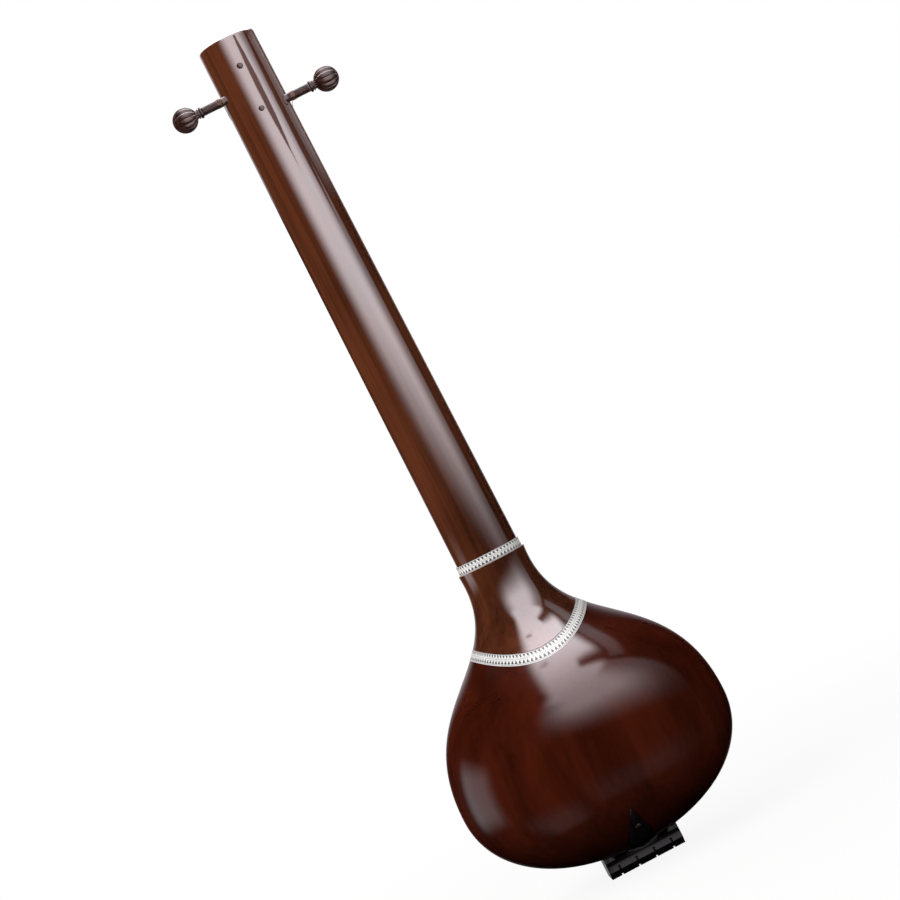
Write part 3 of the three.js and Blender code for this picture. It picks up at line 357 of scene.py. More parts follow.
def carve(piece, cutter, keep=False):
    """Cuts one piece out of another."""
    modify(piece, "BOOLEAN", operation="DIFFERENCE", object=cutter, solver="EXACT")
    if not keep:
        bpy.data.objects.remove(cutter)


def join(piece, other):
    """Makes one solid of two."""
    modify(piece, "BOOLEAN", operation="UNION", object=other, solver="EXACT")
    bpy.data.objects.remove(other)


def smooth(piece, degrees=35):
    """Shades the piece smooth, with its edges above an angle sharp."""
    activate(piece)
    bpy.ops.object.shade_smooth_by_angle(angle=math.radians(degrees))


def copy_of_node(name, node):
    """A copy of a frame piece's mesh as a new piece, its loose triangles merged."""
    piece = bpy.data.objects.new(name, nodes[node].data.copy())
    bpy.context.scene.collection.objects.link(piece)
    edit(piece, MERGE, (bpy.ops.mesh.dissolve_limited, {"angle_limit": math.radians(0.5)}))
    return piece


def paint(piece, finish):
    """Gives a piece the finish of a name as its only material."""
    piece.data.materials.clear()
    piece.data.materials.append(finish_named(finish))


def settle(piece, finish, slot, body, *replaced):
    """Gives a piece its finish, the body that it rides on and the nodes it stands for; slot is not used."""
    paint(piece, finish)
    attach(piece, body)
    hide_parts(*replaced)


def blend(low, high, share):
    """A value between two others."""
    return low + (high - low) * share


# The body's and the neck's forms


def cubic(points, share):
    """A cubic curve's value from its four control values."""
    a, b, c, d = points
    rest = 1 - share
    return a * rest**3 + 3 * b * share * rest**2 + 3 * c * share**2 * rest + d * share**3


# How often a search along the outline halves its span
HALVINGS = 40


class BodyForm:
    """The outline and sections that gourd, shoulder, soundboard, bands, tail block and leaf share."""

    def __init__(self, scene):
        self.sizes = scene.tanpura_body
        self.neck = scene.tanpura_neck
        self.bands = scene.tanpura_bands
        self.half = self.sizes.gourd_width / 2
        self.widest = self.sizes.gourd_lift + self.sizes.gourd_rise

    def outline(self, t):
        """Half width and height: 0 is the lowest point, 1 the widest place, 2 the shoulder's top."""
        s = self.sizes
        power = 2 / s.roundness
        angle = np.clip(t, 0, 1) * math.pi / 2
        low_half = self.half * np.sin(angle) ** power
        low_height = self.widest - s.gourd_rise * np.maximum(np.cos(angle), 0) ** power
        share = np.clip(t - 1, 0, 1)
        high_half = cubic((self.half, self.half, s.waist_half, s.shoulder_half), share)
        heights = (self.widest, self.widest + s.gourd_reach, s.shoulder_top - s.waist_reach, s.shoulder_top)
        high_height = cubic(heights, share)
        return np.where(t <= 1, low_half, high_half), np.where(t <= 1, low_height, high_height)

    def section(self, t, offset=0.0):
        """Half width, height, axis, back and front depth, moved out square to the outline."""
        s, n = self.sizes, self.neck
        step = 1e-3
        half, height = self.outline(t)
        half_before, height_before = self.outline(np.maximum(t - step, 0))
        half_after, height_after = self.outline(np.minimum(t + step, 2))
        run, rise = half_after - half_before, height_after - height_before
        out = offset * rise / np.hypot(run, rise)
        up = -offset * run / np.hypot(run, rise)
        swell = np.maximum((half - n.foot_half) / (self.half - n.foot_half), 0)
        share = half / self.half
        axis = np.where(t < 1, s.gourd_axis, blend(n.axis, s.gourd_axis, swell))
        back = np.where(t < 1, s.gourd_back * share, blend(n.back, s.gourd_back, swell))
        front = np.where(t < 1, s.gourd_front * share, blend(n.front, s.gourd_front, swell))
        return half + out, height + up, axis, np.maximum(back + out, 0), np.maximum(front + out, 0)

    def place(self, t, angle, offset=0.0):
        """Points on the body's surface, from a place on the outline and an angle about the axis."""
        half, height, axis, back, front = self.section(t, offset)
        depth = np.where(np.sin(angle) > 0, back, front)
        return np.stack([half * np.cos(angle), axis + depth * np.sin(angle), height], axis=-1)

    def angle(self, t, share, plane, offset=0.0):
        """The angle at a share of the way round the back, from rim to rim at a plane."""
        _, _, axis, _, front = self.section(t, offset)
        rim = np.arcsin(np.clip((plane - axis) / np.maximum(front, 1e-9), -1, 1))
        return blend(rim, math.pi - rim, share)

    def band_slope(self, x):
        """How much taller than wide the bowed band's section is where the band climbs."""
        b = self.bands
        return np.hypot(1, 2 * b.gourd_bow * x / b.gourd_span**2)

    def parting(self, share, shift, plane, offset=0.0):
        """The place on the outline where the surface crosses the band's curve, moved across the band."""
        b = self.bands
        low, high = np.ones_like(share), np.full_like(share, 2.0)
        for _ in range(HALVINGS):
            middle = (low + high) / 2
            point = self.place(middle, self.angle(middle, share, plane, offset), offset)
            x = point[..., 0]
            curve = b.gourd_height + b.gourd_bow * (x / b.gourd_span) ** 2 + shift * self.band_slope(x)
            below = point[..., 2] < curve
            low = np.where(below, middle, low)
            high = np.where(below, high, middle)
        return low

    def find(self, is_before):
        """Where a test along the gourd's lower outline turns from true to false."""
        low, high = 0.0, 1.0
        for _ in range(HALVINGS):
            middle = (low + high) / 2
            if is_before(middle):
                low = middle
            else:
                high = middle
        return high

    def at_height(self, height):
        """The place on the gourd's lower outline at a height."""
        return self.find(lambda t: self.outline(t)[1] < height)

    def back_point(self, t, x, offset):
        """Points on the back, at a distance from its middle line."""
        half, height, axis, back, _ = self.section(t, offset)
        y = axis + back * np.sqrt(np.maximum(1 - (x / half) ** 2, 0))
        return np.stack([x + 0 * y, y, height + 0 * y], axis=-1)

    def back_way(self, t):
        """The outward way, square to the back's middle line."""
        step = 1e-3
        along = self.back_point(t + step, 0.0, 0.0) - self.back_point(t - step, 0.0, 0.0)
        return Vector((0, along[2], -along[1])).normalized()


class NeckForm:
    """The neck's sections."""

    def __init__(self, scene):
        self.sizes = scene.tanpura_neck
        self.foot = scene.tanpura_body.shoulder_top

    def half_at(self, height):
        """Half the neck's width at a height."""
        s = self.sizes
        return blend(s.foot_half, s.top_half, (height - self.foot) / (s.top - self.foot))

    def place(self, height, share, plane, offset=0.0):
        """Points on the neck's back, at a share of the way from rim to rim at a plane."""
        s = self.sizes
        rim = np.arcsin((plane - s.axis) / (s.front + offset))
        angle = blend(rim, math.pi - rim, share)
        depth = np.where(np.sin(angle) > 0, s.back + offset, s.front + offset)
        half = self.half_at(height) + offset
        return np.stack([half * np.cos(angle), s.axis + depth * np.sin(angle), height + 0 * half], axis=-1)


# Shader helpers


class Value:
    """A value that varies over a surface. Sums and products of it add Math nodes."""

    def __init__(self, shader, socket):
        self.shader = shader
        self.socket = socket

    def math(self, operation, *values):
        return self.shader.node("ShaderNodeMath", {"operation": operation}, dict(enumerate(values)))

    def __add__(self, other):
        return self.math("ADD", self, other)

    def __radd__(self, other):
        return self.math("ADD", other, self)

    def __sub__(self, other):
        return self.math("SUBTRACT", self, other)

    def __rsub__(self, other):
        return self.math("SUBTRACT", other, self)

    def __mul__(self, other):
        return self.math("MULTIPLY", self, other)

    def __rmul__(self, other):
        return self.math("MULTIPLY", other, self)

    def __truediv__(self, other):
        return self.math("DIVIDE", self, other)

    def __abs__(self):
        return self.math("ABSOLUTE", self)

    def __lt__(self, other):
        return self.math("LESS_THAN", self, other)

    def __gt__(self, other):
        return self.math("GREATER_THAN", self, other)

    def wrapped(self):
        """The part after the point, from 0 to 1."""
        return self.math("FRACT", self)

    def most(self, other):
        return self.math("MAXIMUM", self, other)

    def sine(self):
        return self.math("SINE", self)

    def degrees_to(self, other):
        """The angle, in degrees, of a direction with this value across and the other along."""
        return self.math("ARCTAN2", self, other) * math.degrees(1)

    def step(self, low, high):
        """0 below low, 1 above high, and smooth between."""
        settings = {"interpolation_type": "SMOOTHSTEP"}
        inputs = {"Value": self, "From Min": low, "From Max": high}
        return self.shader.node("ShaderNodeMapRange", settings, inputs)


class Shader:
    """A node tree that is built by calls: a material's or the world's."""

    def __init__(self, owner):
        owner.use_nodes = True
        self.tree = owner.node_tree
        self.tree.nodes.clear()

    def show(self, surface, kind="ShaderNodeOutputMaterial"):
        """Makes a surface the tree's result."""
        output = self.tree.nodes.new(kind)
        self.tree.links.new(surface.socket, output.inputs["Surface"])

    def node(self, kind, settings=None, inputs=None, output=0):
        """Adds a node, with its settings first and then the values or links of its sockets."""
        made = self.tree.nodes.new(kind)
        for name, value in (settings or {}).items():
            setattr(made, name, value)
        for key, value in (inputs or {}).items():
            if isinstance(value, Value):
                self.tree.links.new(value.socket, made.inputs[key])
            else:
                made.inputs[key].default_value = value
        return Value(self, made.outputs[output])

    def mix(self, factor, first, second):
        """A colour between two colours."""
        inputs = {0: factor, 6: self.whole(first), 7: self.whole(second)}
        return self.node("ShaderNodeMix", {"data_type": "RGBA"}, inputs, 2)

    @staticmethod
    def whole(value):
        """A colour with its alpha, where it isn't a link."""
        return value if isinstance(value, Value) else (*value, 1.0)

    def place(self):
        """Object coordinates, in metres."""
        return self.node("ShaderNodeTexCoord", None, None, "Object")

    def stretched(self, vector, scale):
        """A vector scaled along each axis."""
        return self.node("ShaderNodeVectorMath", {"operation": "MULTIPLY"}, {0: vector, 1: scale})

    def noise(self, vector, scale, detail, roughness=0.5, distortion=0.0):
        """A noise value from 0 to 1."""
        inputs = {"Vector": vector, "Scale": scale, "Detail": detail, "Roughness": roughness}
        return self.node("ShaderNodeTexNoise", None, {**inputs, "Distortion": distortion})

    def along(self, vector, way):
        """How far a vector goes along a fixed way."""
        settings = {"operation": "DOT_PRODUCT"}
        return self.node("ShaderNodeVectorMath", settings, {0: vector, 1: tuple(way)}, "Value")

    def between(self, value, low, high):
        """1 between two edges and 0 outside; each edge is its place and its softness."""
        after = value.step(low[0] - low[1], low[0] + low[1])
        return after * (1 - value.step(high[0] - high[1], high[0] + high[1]))

    def parts(self, vector):
        """The three numbers of a vector."""
        made = self.node("ShaderNodeSeparateXYZ", None, {0: vector})
        return [Value(self, output) for output in made.socket.node.outputs]

    def ray(self, *kinds):
        """1 for rays of these kinds and 0 for others."""
        outputs = self.node("ShaderNodeLightPath").socket.node.outputs
        first, *others = (Value(self, outputs[f"Is {kind} Ray"]) for kind in kinds)
        for other in others:
            first = first.most(other)
        return first


class Finish(Shader):
    """A material with one Principled surface."""

    def __init__(self, name, **constants):
        self.material = bpy.data.materials.new(name)
        super().__init__(self.material)
        surface = self.node("ShaderNodeBsdfPrincipled")
        self.surface = surface.socket.node
        self.show(surface)
        self.set(**constants)

    def set(self, **values):
        """Sets or links the surface's sockets, named with underscores."""
        for name, value in values.items():
            socket = self.surface.inputs[name.replace("_", " ").title().replace("Ior", "IOR")]
            if isinstance(value, Value):
                self.tree.links.new(value.socket, socket)
            else:
                socket.default_value = (*value, 1.0) if socket.type == "RGBA" else value

    def dye(self, share, first, second):
        """Feeds the base colour from two colours; a number as the second is a factor for the first."""
        if isinstance(second, float):
            second = scaled(first, second)
        self.set(base_color=self.mix(share, first, second))

    def bump(self, height, distance):
        """Feeds the surface's normal from a height."""
        inputs = {"Height": height, "Distance": distance, "Strength": 1.0}
        self.set(normal=self.node("ShaderNodeBump", None, inputs))


# Finishes


def scaled(values, factor):
    """A colour or a scale with each of its numbers times a factor."""
    return tuple(factor * value for value in values)


def painted_reflection_gaps(finish, place, wood, _):
    """Painted dark gaps in the lacquer's reflection near the head: the coat is thinned in two long streaks,
    which run to a point further down.
    """
    x, y, z = finish.parts(place)
    head_face, front_edge, reflection_gap_depth = 1.1965, -0.05, 0.88
    fray = 0.0016
    ragged = finish.noise(finish.stretched(place, (900.0, 900.0, 60.0)), 1.0, 2.0, 0.6) * fray
    upright_at, slant = 1.1, 0.012
    lean = (upright_at - z) * slant
    narrowed = 1 - z.step(1.13, 1.215) * 0.6
    marks = []
    # each mark's middle along X at that height, half width, point's height and height where it is full
    for middle, half_width, point, full in (
        (-0.0098, 0.0042, 0.985, 1.10),
        (-0.0250, 0.0034, 0.865, 1.06),
    ):
        width = z.step(point, full) * narrowed * half_width
        inside = (abs(x - middle - lean) + ragged - width).step(0.0012, -0.0006)
        marks.append(inside * (z > point))
    streaks = marks[0].most(marks[1]) * (z < head_face) * (y > front_edge)
    finish.set(coat_weight=1 - streaks * reflection_gap_depth, base_color=wood)


def lit_from_above(finish, place, wood, dark):
    """The lacquer shines less lower down, and shade is painted into the wood's colour, darker towards the
    floor.
    """
    height = finish.parts(place)[2]
    shine_edge, shadow_edge = (0.235, 0.335), (0.01, 0.16)
    least, gained = 0.33, 0.62
    shine = height.step(*shine_edge) * gained + least
    shadow = scaled(dark, 0.3)
    finish.set(coat_weight=shine, base_color=finish.mix(height.step(*shadow_edge), shadow, wood))


def lacquered_wood(name, dark, light, streaks, mottling, waviness, gloss, vary=None):
    """Straight-grained or mottled wood under a lacquer.

    The gloss is the lacquer's weight, its roughness and the wood's own shine; vary, where it is given,
    feeds the base colour and that weight.
    """
    weight, blur, shine = gloss
    finish = Finish(name, roughness=0.45, coat_weight=weight, coat_roughness=blur, coat_ior=1.6)
    finish.set(specular_ior_level=shine)
    place = finish.place()
    grain = finish.noise(finish.stretched(place, streaks), 1.0, 5.0, 0.62, 0.35)
    fine = finish.noise(finish.stretched(place, scaled(streaks, 8)), 1.0, 3.0, 0.6)
    patches = finish.noise(place, mottling, 2.0, 0.5, 0.6)
    tone = (grain * 0.55 + fine * 0.20 + patches * 0.35).step(0.38, 0.74)
    wood = finish.mix(tone, dark, light)
    if vary:
        vary(finish, place, wood, dark)
    else:
        finish.set(base_color=wood)
    swell = finish.noise(place, 14.0, 1.0, 0.4)
    ripple = finish.noise(finish.stretched(place, (60.0, 60.0, 25.0)), 1.0, 2.0, 0.5)
    finish.bump(swell * 0.8 + ripple * 0.05, waviness)
    return finish.material


def ornamented_ivory(colours):
    """White celluloid with an inked border, two rows of triangles and faint leaves between them."""
    finish = Finish("ivory_inlay", roughness=0.4, coat_weight=0.12, coat_roughness=0.08)
    along, across, _ = finish.parts(finish.node("ShaderNodeTexCoord", None, None, "UV"))
    cell = abs(along.wrapped() - 0.5) * 2
    line = (abs(across - 0.08) < 0.020).most(abs(across - 0.96) < 0.016)
    lower_row = (cell < 0.82 * (0.46 - across) / 0.30) * (across > 0.15)
    shifted = abs((along + 0.5).wrapped() - 0.5) * 2
    upper_row = (shifted < 0.74 * (across - 0.64) / 0.26) * (across < 0.91)
    marks = line.most(lower_row).most(upper_row)
    place = finish.place()
    petals = ((along * 2 * math.pi).sine() * 0.10 + 0.55 - across) * 9
    leaf_line = 1 - abs(abs(petals) - 0.8).step(0.1, 0.55)
    broken = finish.noise(place, 700.0, 2.0, 0.6).step(0.34, 0.52)
    scribble = leaf_line * broken * (across > 0.36) * (across < 0.78)
    tint = finish.noise(place, 240.0, 2.0).step(0.3, 0.8) * 0.12
    white = finish.mix(tint, colours.ivory, scaled(colours.ivory, 0.8))
    finish.dye(marks, finish.mix(scribble * 0.9, white, colours.wash), colours.ink)
    finish.bump(1 - marks, 0.00008)
    return finish.material


def turned_wood(name, dark, light):
    """Dark close-grained wood, worn lighter on its high places."""
    finish = Finish(name, coat_weight=0.08, coat_roughness=0.2)
    finish.set(specular_ior_level=0.2)
    place = finish.place()
    grain = finish.noise(finish.stretched(place, (140.0, 140.0, 30.0)), 1.0, 4.0, 0.6)
    worn = finish.noise(place, 90.0, 4.0, 0.65).step(0.45, 0.75)
    finish.dye(grain.step(0.4, 0.75) * 0.5 + worn * 0.5, dark, light)
    finish.set(roughness=0.30 + worn * 0.22)
    finish.bump(grain * 0.6 + worn * 0.4, 0.00015)
    return finish.material


def polished_black(name, base):
    """Polished black wood with fine scratches."""
    finish = Finish(name, coat_weight=1.0, coat_roughness=0.12, coat_ior=2.0)
    place = finish.place()
    scratches = finish.noise(finish.stretched(place, (30.0, 400.0, 400.0)), 1.0, 3.0, 0.6)
    dust = finish.noise(place, 260.0, 3.0, 0.6).step(0.55, 0.8)
    finish.dye(dust * 0.5, base, 6.0)
    finish.set(roughness=0.22 + scratches * 0.2)
    finish.bump(scratches, 0.00006)
    return finish.material


def plain_bone(name, base):
    """Bone or celluloid, with faint streaks."""
    finish = Finish(name, coat_weight=0.15, coat_roughness=0.3)
    place = finish.place()
    streaks = finish.noise(finish.stretched(place, (60.0, 500.0, 500.0)), 1.0, 4.0, 0.6)
    finish.dye(streaks.step(0.35, 0.75), base, 0.72)
    finish.set(roughness=0.38 + streaks * 0.15)
    finish.bump(streaks, 0.00005)
    return finish.material


def raw_wood(base):
    """Sawn wood, unfinished."""
    finish = Finish("raw_wood", roughness=0.75)
    place = finish.place()
    grain = finish.noise(finish.stretched(place, (200.0, 200.0, 12.0)), 1.0, 5.0, 0.6)
    finish.dye(grain.step(0.3, 0.75), base, 0.5)
    finish.bump(grain, 0.0002)
    return finish.material


def worn_metal(name, base, grain=900.0):
    """Metal with a fine, uneven polish."""
    finish = Finish(name, metallic=1.0)
    place = finish.place()
    cloud = finish.noise(place, grain, 3.0, 0.6)
    finish.dye(cloud, base, 0.7)
    finish.set(roughness=0.22 + cloud * 0.25)
    finish.bump(cloud, 0.00003)
    return finish.material


def clear_bead(base):
    """A polished cream bead with faint clouds."""
    finish = Finish("bead_glass", coat_weight=1.0, coat_roughness=0.05)
    cloud = finish.noise(finish.place(), 420.0, 3.0, 0.6)
    finish.dye(cloud, base, 0.75)
    finish.set(roughness=0.2 + cloud * 0.15)
    return finish.material


def spun_cotton(base):
    """Twisted cotton thread."""
    finish = Finish("cotton_thread", roughness=0.9)
    along, across, up = finish.parts(finish.place())
    twist = ((along * 6000.0 + up * 9000.0 + across * 9000.0).sine() + 1) * 0.5
    finish.dye(twist, base, 0.6)
    finish.bump(twist, 0.00008)
    return finish.material


def make_finishes(colours):
    """All the materials, by name."""
    gourds = (colours.gourd_dark, colours.gourd_light)
    woods = (colours.wood_dark, colours.wood_light)
    boards = (colours.board_dark, colours.board_light)
    return {
        "gourd": lacquered_wood(
            "gourd_lacquer", *gourds, (16.0, 16.0, 2.4), 4.0, 0.00030, (0.9, 0.10, 0.02), lit_from_above
        ),
        "shoulder": lacquered_wood(
            "shoulder_lacquer", *woods, (20.0, 20.0, 2.4), 4.0, 0.00012, (1.0, 0.085, 0.02)
        ),
        "neck": lacquered_wood(
            "neck_lacquer", *woods, (34.0, 34.0, 0.9), 3.0, 0.00006, (1.0, 0.06, 0.02), painted_reflection_gaps
        ),
        "board": lacquered_wood(
            "board_lacquer", *boards, (90.0, 20.0, 1.2), 3.0, 0.0001, (0.8, 0.08, 0.03)
        ),
        "ivory": ornamented_ivory(colours),
        "peg": turned_wood("peg_wood", colours.peg_dark, colours.peg_light),
        "black": polished_black("black_wood", colours.black),
        "plain_ivory": plain_bone("plain_ivory", colours.ivory),
        "bone": plain_bone("bone", colours.bone),
        "raw": raw_wood(colours.raw),
        "brass": worn_metal("pin_brass", colours.brass),
        "steel": worn_metal("plain_steel", colours.steel),
        "steel_wire": worn_metal("steel_wire", colours.steel, 2000.0),
        "bronze_wire": worn_metal("bronze_wire", colours.bronze, 2000.0),
        "bead": clear_bead(colours.bead),
        "cotton": spun_cotton(colours.cotton),
    }


finishes = {}


def finish_named(name):
    """A material by name; all are made at the first call."""
    if not finishes:
        finishes.update(make_finishes(bpy.context.scene.tanpura_finish))
    return finishes[name]


# Operators


# Soft edges of the tent's light, each from a place to a place: metres across, towards the camera and up
SKY_ACROSS, SKY_HEIGHT = (-0.36, -0.06), (1.36, 1.70)
DARK_ACROSS, DARK_TOWARD = (0.52, 0.63), (-0.10, 0.12)
# The window's, in degrees round the tent, and its sill's in metres up
WINDOW_START, WINDOW_DIM, WINDOW_END, SILL = (-36, 10), (46, 84), (84, 92), (0.36, 1.00)
# Weaker patches of light: the two ends in degrees and the two in metres up, each with its softness,
# and the strength
PATCHES = (
    ((96, 3), (138, 5), (1.06, 0.06), (1.34, 0.04), 1.0),
    ((-108, 7), (-76, 7), (0.02, 0.10), (0.40, 0.10), 2.4),
    ((-62, 12), (-24, 12), (-0.60, 0.15), (-0.14, 0.14), 0.55),
    ((-10, 10), (60, 20), (-0.34, 0.12), (-0.02, 0.12), 0.28),
    ((150, 8), (200, 5), (-0.10, 0.10), (2.7, 0.10), 0.4),
    ((-200, 5), (-150, 8), (-0.10, 0.15), (0.60, 0.10), 0.5),
    ((-200, 5), (-140, 8), (1.05, 0.05), (2.7, 0.10), 0.8),
)


class TANPURA_OT_stage(bpy.types.Operator):
    """Make the floor, the white surroundings, the lamps and the camera"""

    bl_idname = "tanpura.stage"
    bl_label = "Stage"

    def execute(self, context):
        settings = context.scene.tanpura_stage
        self.back = Vector((math.sin(settings.azimuth), -math.cos(settings.azimuth), 0))
        self.side = Vector((-self.back.y, self.back.x, 0))
        self.make_camera(context, settings)
        self.make_floor()
        self.make_lamp(context)
        self.make_tent(settings)
        self.make_world(context, settings)
        context.scene.view_settings.view_transform = "Standard"
        return {"FINISHED"}

    def make_camera(self, context, settings):
        """The camera looks level at the neck's back, rolled so that the head leans."""
        data = bpy.data.cameras.new("camera")
        data.lens = settings.lens
        data.clip_end = 100
        camera = bpy.data.objects.new("camera", data)
        context.scene.collection.objects.link(camera)
        aim = Vector((settings.aim_x, settings.aim_y, settings.aim_z))
        camera.location = aim + self.back * settings.distance
        level = (-self.back).to_track_quat("-Z", "Y")
        camera.rotation_mode = "QUATERNION"
        camera.rotation_quaternion = level @ Quaternion((0, 0, 1), -settings.lean)
        context.scene.camera = camera

    def make_floor(self):
        """A pale floor that turns into the white surroundings far from the object."""
        deselect()
        drop = 0.0004
        bpy.ops.mesh.primitive_plane_add(size=40, location=(0, 0, -drop))
        floor = bpy.context.object
        floor.name = "floor"
        material = bpy.data.materials.new("floor_white")
        shader = Shader(material)
        far = shader.node("ShaderNodeVectorMath", {"operation": "LENGTH"}, {0: shader.place()}, "Value")
        near_cover, fade_start, fade_end = 0.90, 0.3, 1.2
        faded = near_cover + (1 - near_cover) * far.step(fade_start, fade_end)
        cover = shader.ray("Camera", "Transmission") * faded
        diffuse = shader.node("ShaderNodeBsdfDiffuse", None, {"Color": (0.9, 0.9, 0.9, 1)})
        glow = shader.node("ShaderNodeEmission", None, {"Color": (1, 1, 1, 1), "Strength": 1.0})
        surface = shader.node("ShaderNodeMixShader", None, {0: cover, 1: diffuse, 2: glow})
        shader.show(surface)
        floor.data.materials.append(material)
        floor.visible_glossy = False

    def make_lamp(self, context):
        """A soft key lamp on the left, which lights the wood under the lacquer."""
        turned, raised, away = math.radians(-55), math.radians(38), 2.6
        out = self.back * math.cos(turned) + self.side * math.sin(turned)
        way = out * math.cos(raised) + Vector((0, 0, math.sin(raised)))
        data = bpy.data.lights.new("key", "AREA")
        data.size = 1.8
        data.energy = 42
        data.color = (1.0, 0.97, 0.95)
        lamp = bpy.data.objects.new("key", data)
        context.scene.collection.objects.link(lamp)
        lamp.location = Vector((0, 0, 0.55)) + way * away
        lamp.rotation_mode = "QUATERNION"
        lamp.rotation_quaternion = (-way).to_track_quat("-Z", "Y")
        lamp.visible_glossy = False

    def make_tent(self, settings):
        """A light tent round the object, dark but for its soft windows, and seen only in the lacquer."""
        deselect()
        depth = settings.tent_high - settings.tent_low
        middle = (settings.tent_high + settings.tent_low) / 2
        bpy.ops.mesh.primitive_cylinder_add(
            vertices=128, radius=settings.tent, depth=depth, location=(0, 0, middle)
        )
        tent = bpy.context.object
        tent.name = "light_tent"
        bpy.ops.object.transform_apply(location=True)
        material = bpy.data.materials.new("tent_light")
        shader = Shader(material)
        place = shader.place()
        ways = (self.side, self.back, Vector((0, 0, 1)))
        across, toward, height = (shader.along(place, way) for way in ways)
        wall = self.wall_light(shader, across.degrees_to(toward), height, settings)
        dark = across.step(*DARK_ACROSS) * (1 - toward.step(*DARK_TOWARD))
        skylight = across.step(*SKY_ACROSS) * (1 - dark) * settings.window
        overhead = height.step(*SKY_HEIGHT)
        light = wall * (1 - overhead) + skylight * overhead
        inputs = {"Color": (1.0, 0.93, 0.98, 1), "Strength": light}
        surface = shader.node("ShaderNodeEmission", None, inputs)
        shader.show(surface)
        material.cycles.emission_sampling = "NONE"
        tent.data.materials.append(material)
        tent.visible_camera = False
        tent.visible_diffuse = False
        tent.visible_transmission = False
        tent.visible_shadow = False

    def wall_light(self, shader, turned, height, settings):
        """The tent's wall: a window with a soft slanting sill, and weaker patches."""
        level_at, slant, dimming = 20, 0.0030, 0.80
        sill = height + (turned - level_at) * slant
        dimmed = 1 - turned.step(*WINDOW_DIM) * dimming
        window = turned.step(*WINDOW_START) * dimmed * (1 - turned.step(*WINDOW_END))
        light = window * sill.step(*SILL) * settings.window
        for left, right, low, high, strength in PATCHES:
            patch = shader.between(turned, left, right) * shader.between(height, low, high)
            light = light + patch * strength
        return light

    def make_world(self, context, settings):
        """White to the eye, an even soft light on the object, and nothing in its mirrors."""
        world = context.scene.world or bpy.data.worlds.new("world")
        context.scene.world = world
        shader = Shader(world)
        lit = (1 - shader.ray("Glossy")) * settings.ambient
        strength = shader.ray("Camera", "Transmission").most(lit)
        surface = shader.node("ShaderNodeBackground", None, {"Color": (1, 1, 1, 1), "Strength": strength})
        shader.show(surface, "ShaderNodeOutputWorld")


class TANPURA_OT_resonator(bpy.types.Operator):
    """Make the gourd and the shoulder, parted under the bowed band"""

    bl_idname = "tanpura.resonator"
    bl_label = "Gourd and shoulder"

    def execute(self, context):
        self.form = BodyForm(context.scene)
        self.shell("gourd_shell", "gourd", 76, True)
        self.shell("shoulder_shell", "shoulder", 56, False)
        return {"FINISHED"}

    def shell(self, name, node, rows, below):
        """A wall between the body's end and the band's middle, stepped in under the band."""
        form, sizes, bands = self.form, self.form.sizes, self.form.bands
        plane = sizes.face + sizes.board + sizes.gap
        side = -1 if below else 1
        sunk = bands.sunk + sizes.gap
        under = 4
        total = rows + 1 + under

        def place(u, v):
            row = np.rint(v * total)
            edge = form.parting(u, side * (bands.gourd_width / 2 + sizes.gap), plane)
            middle = form.parting(u, side * sizes.gap / 2, plane, -sunk)
            end = 0.0 if below else 2.0
            t = blend(end, edge, np.minimum(row / rows, 1))
            t = blend(t, middle, np.maximum(row - rows - 1, 0) / under)
            offset = np.where(row > rows, -sunk, 0.0)
            return form.place(t, form.angle(t, u, plane, offset), offset)

        piece = bent_grid(name, 144, total, place)
        thicken(piece, sizes.wall)
        smooth(piece)
        settle(piece, node, "lacquered_wood", "root", node)


class TANPURA_OT_bands(bpy.types.Operator):
    """Make the straight band at the neck's foot and the bowed band round the gourd"""

    bl_idname = "tanpura.bands"
    bl_label = "Inlaid bands"

    def execute(self, context):
        body = BodyForm(context.scene)
        neck = NeckForm(context.scene)
        sizes, bands = body.sizes, body.bands
        body_plane = sizes.face + sizes.board + sizes.gap
        neck_plane = sizes.face + neck.sizes.plate + sizes.gap
        low = sizes.shoulder_top + sizes.gap / 2

        def on_body(share, across):
            shift = (across - 0.5) * bands.gourd_width
            t = body.parting(share, shift, body_plane, bands.gourd_proud)
            return body.place(t, body.angle(t, share, body_plane, bands.gourd_proud), bands.gourd_proud)

        def on_neck(share, across):
            return neck.place(low + across * bands.neck_width, share, neck_plane, bands.neck_proud)

        self.strip("gourd_inlay", "gourd_band", on_body, bands, bands.sunk + bands.gourd_proud)
        self.strip("neck_inlay", "neck_band", on_neck, bands, bands.sunk + bands.neck_proud)
        return {"FINISHED"}

    def strip(self, name, node, surface, bands, thickness):
        """A strip over a surface, evenly divided along its length."""
        samples = np.linspace(0, 1, 600)
        line = surface(samples, np.full_like(samples, 0.5))
        run = np.concatenate([[0], np.cumsum(np.linalg.norm(np.diff(line, axis=0), axis=1))])
        rows = 8

        def place(u, v):
            return surface(np.interp(u * run[-1], run, samples), v)

        piece = bent_grid(name, 360, rows, place)
        layer = piece.data.uv_layers.active.data
        flat = np.empty(len(layer) * 2)
        layer.foreach_get("uv", flat)
        flat[0::2] *= round(run[-1] / bands.pitch)
        layer.foreach_set("uv", flat)
        thicken(piece, thickness)
        bevel(piece, 0.00025, 2)
        smooth(piece)
        settle(piece, "ivory", "ivory_inlay", "root", node)


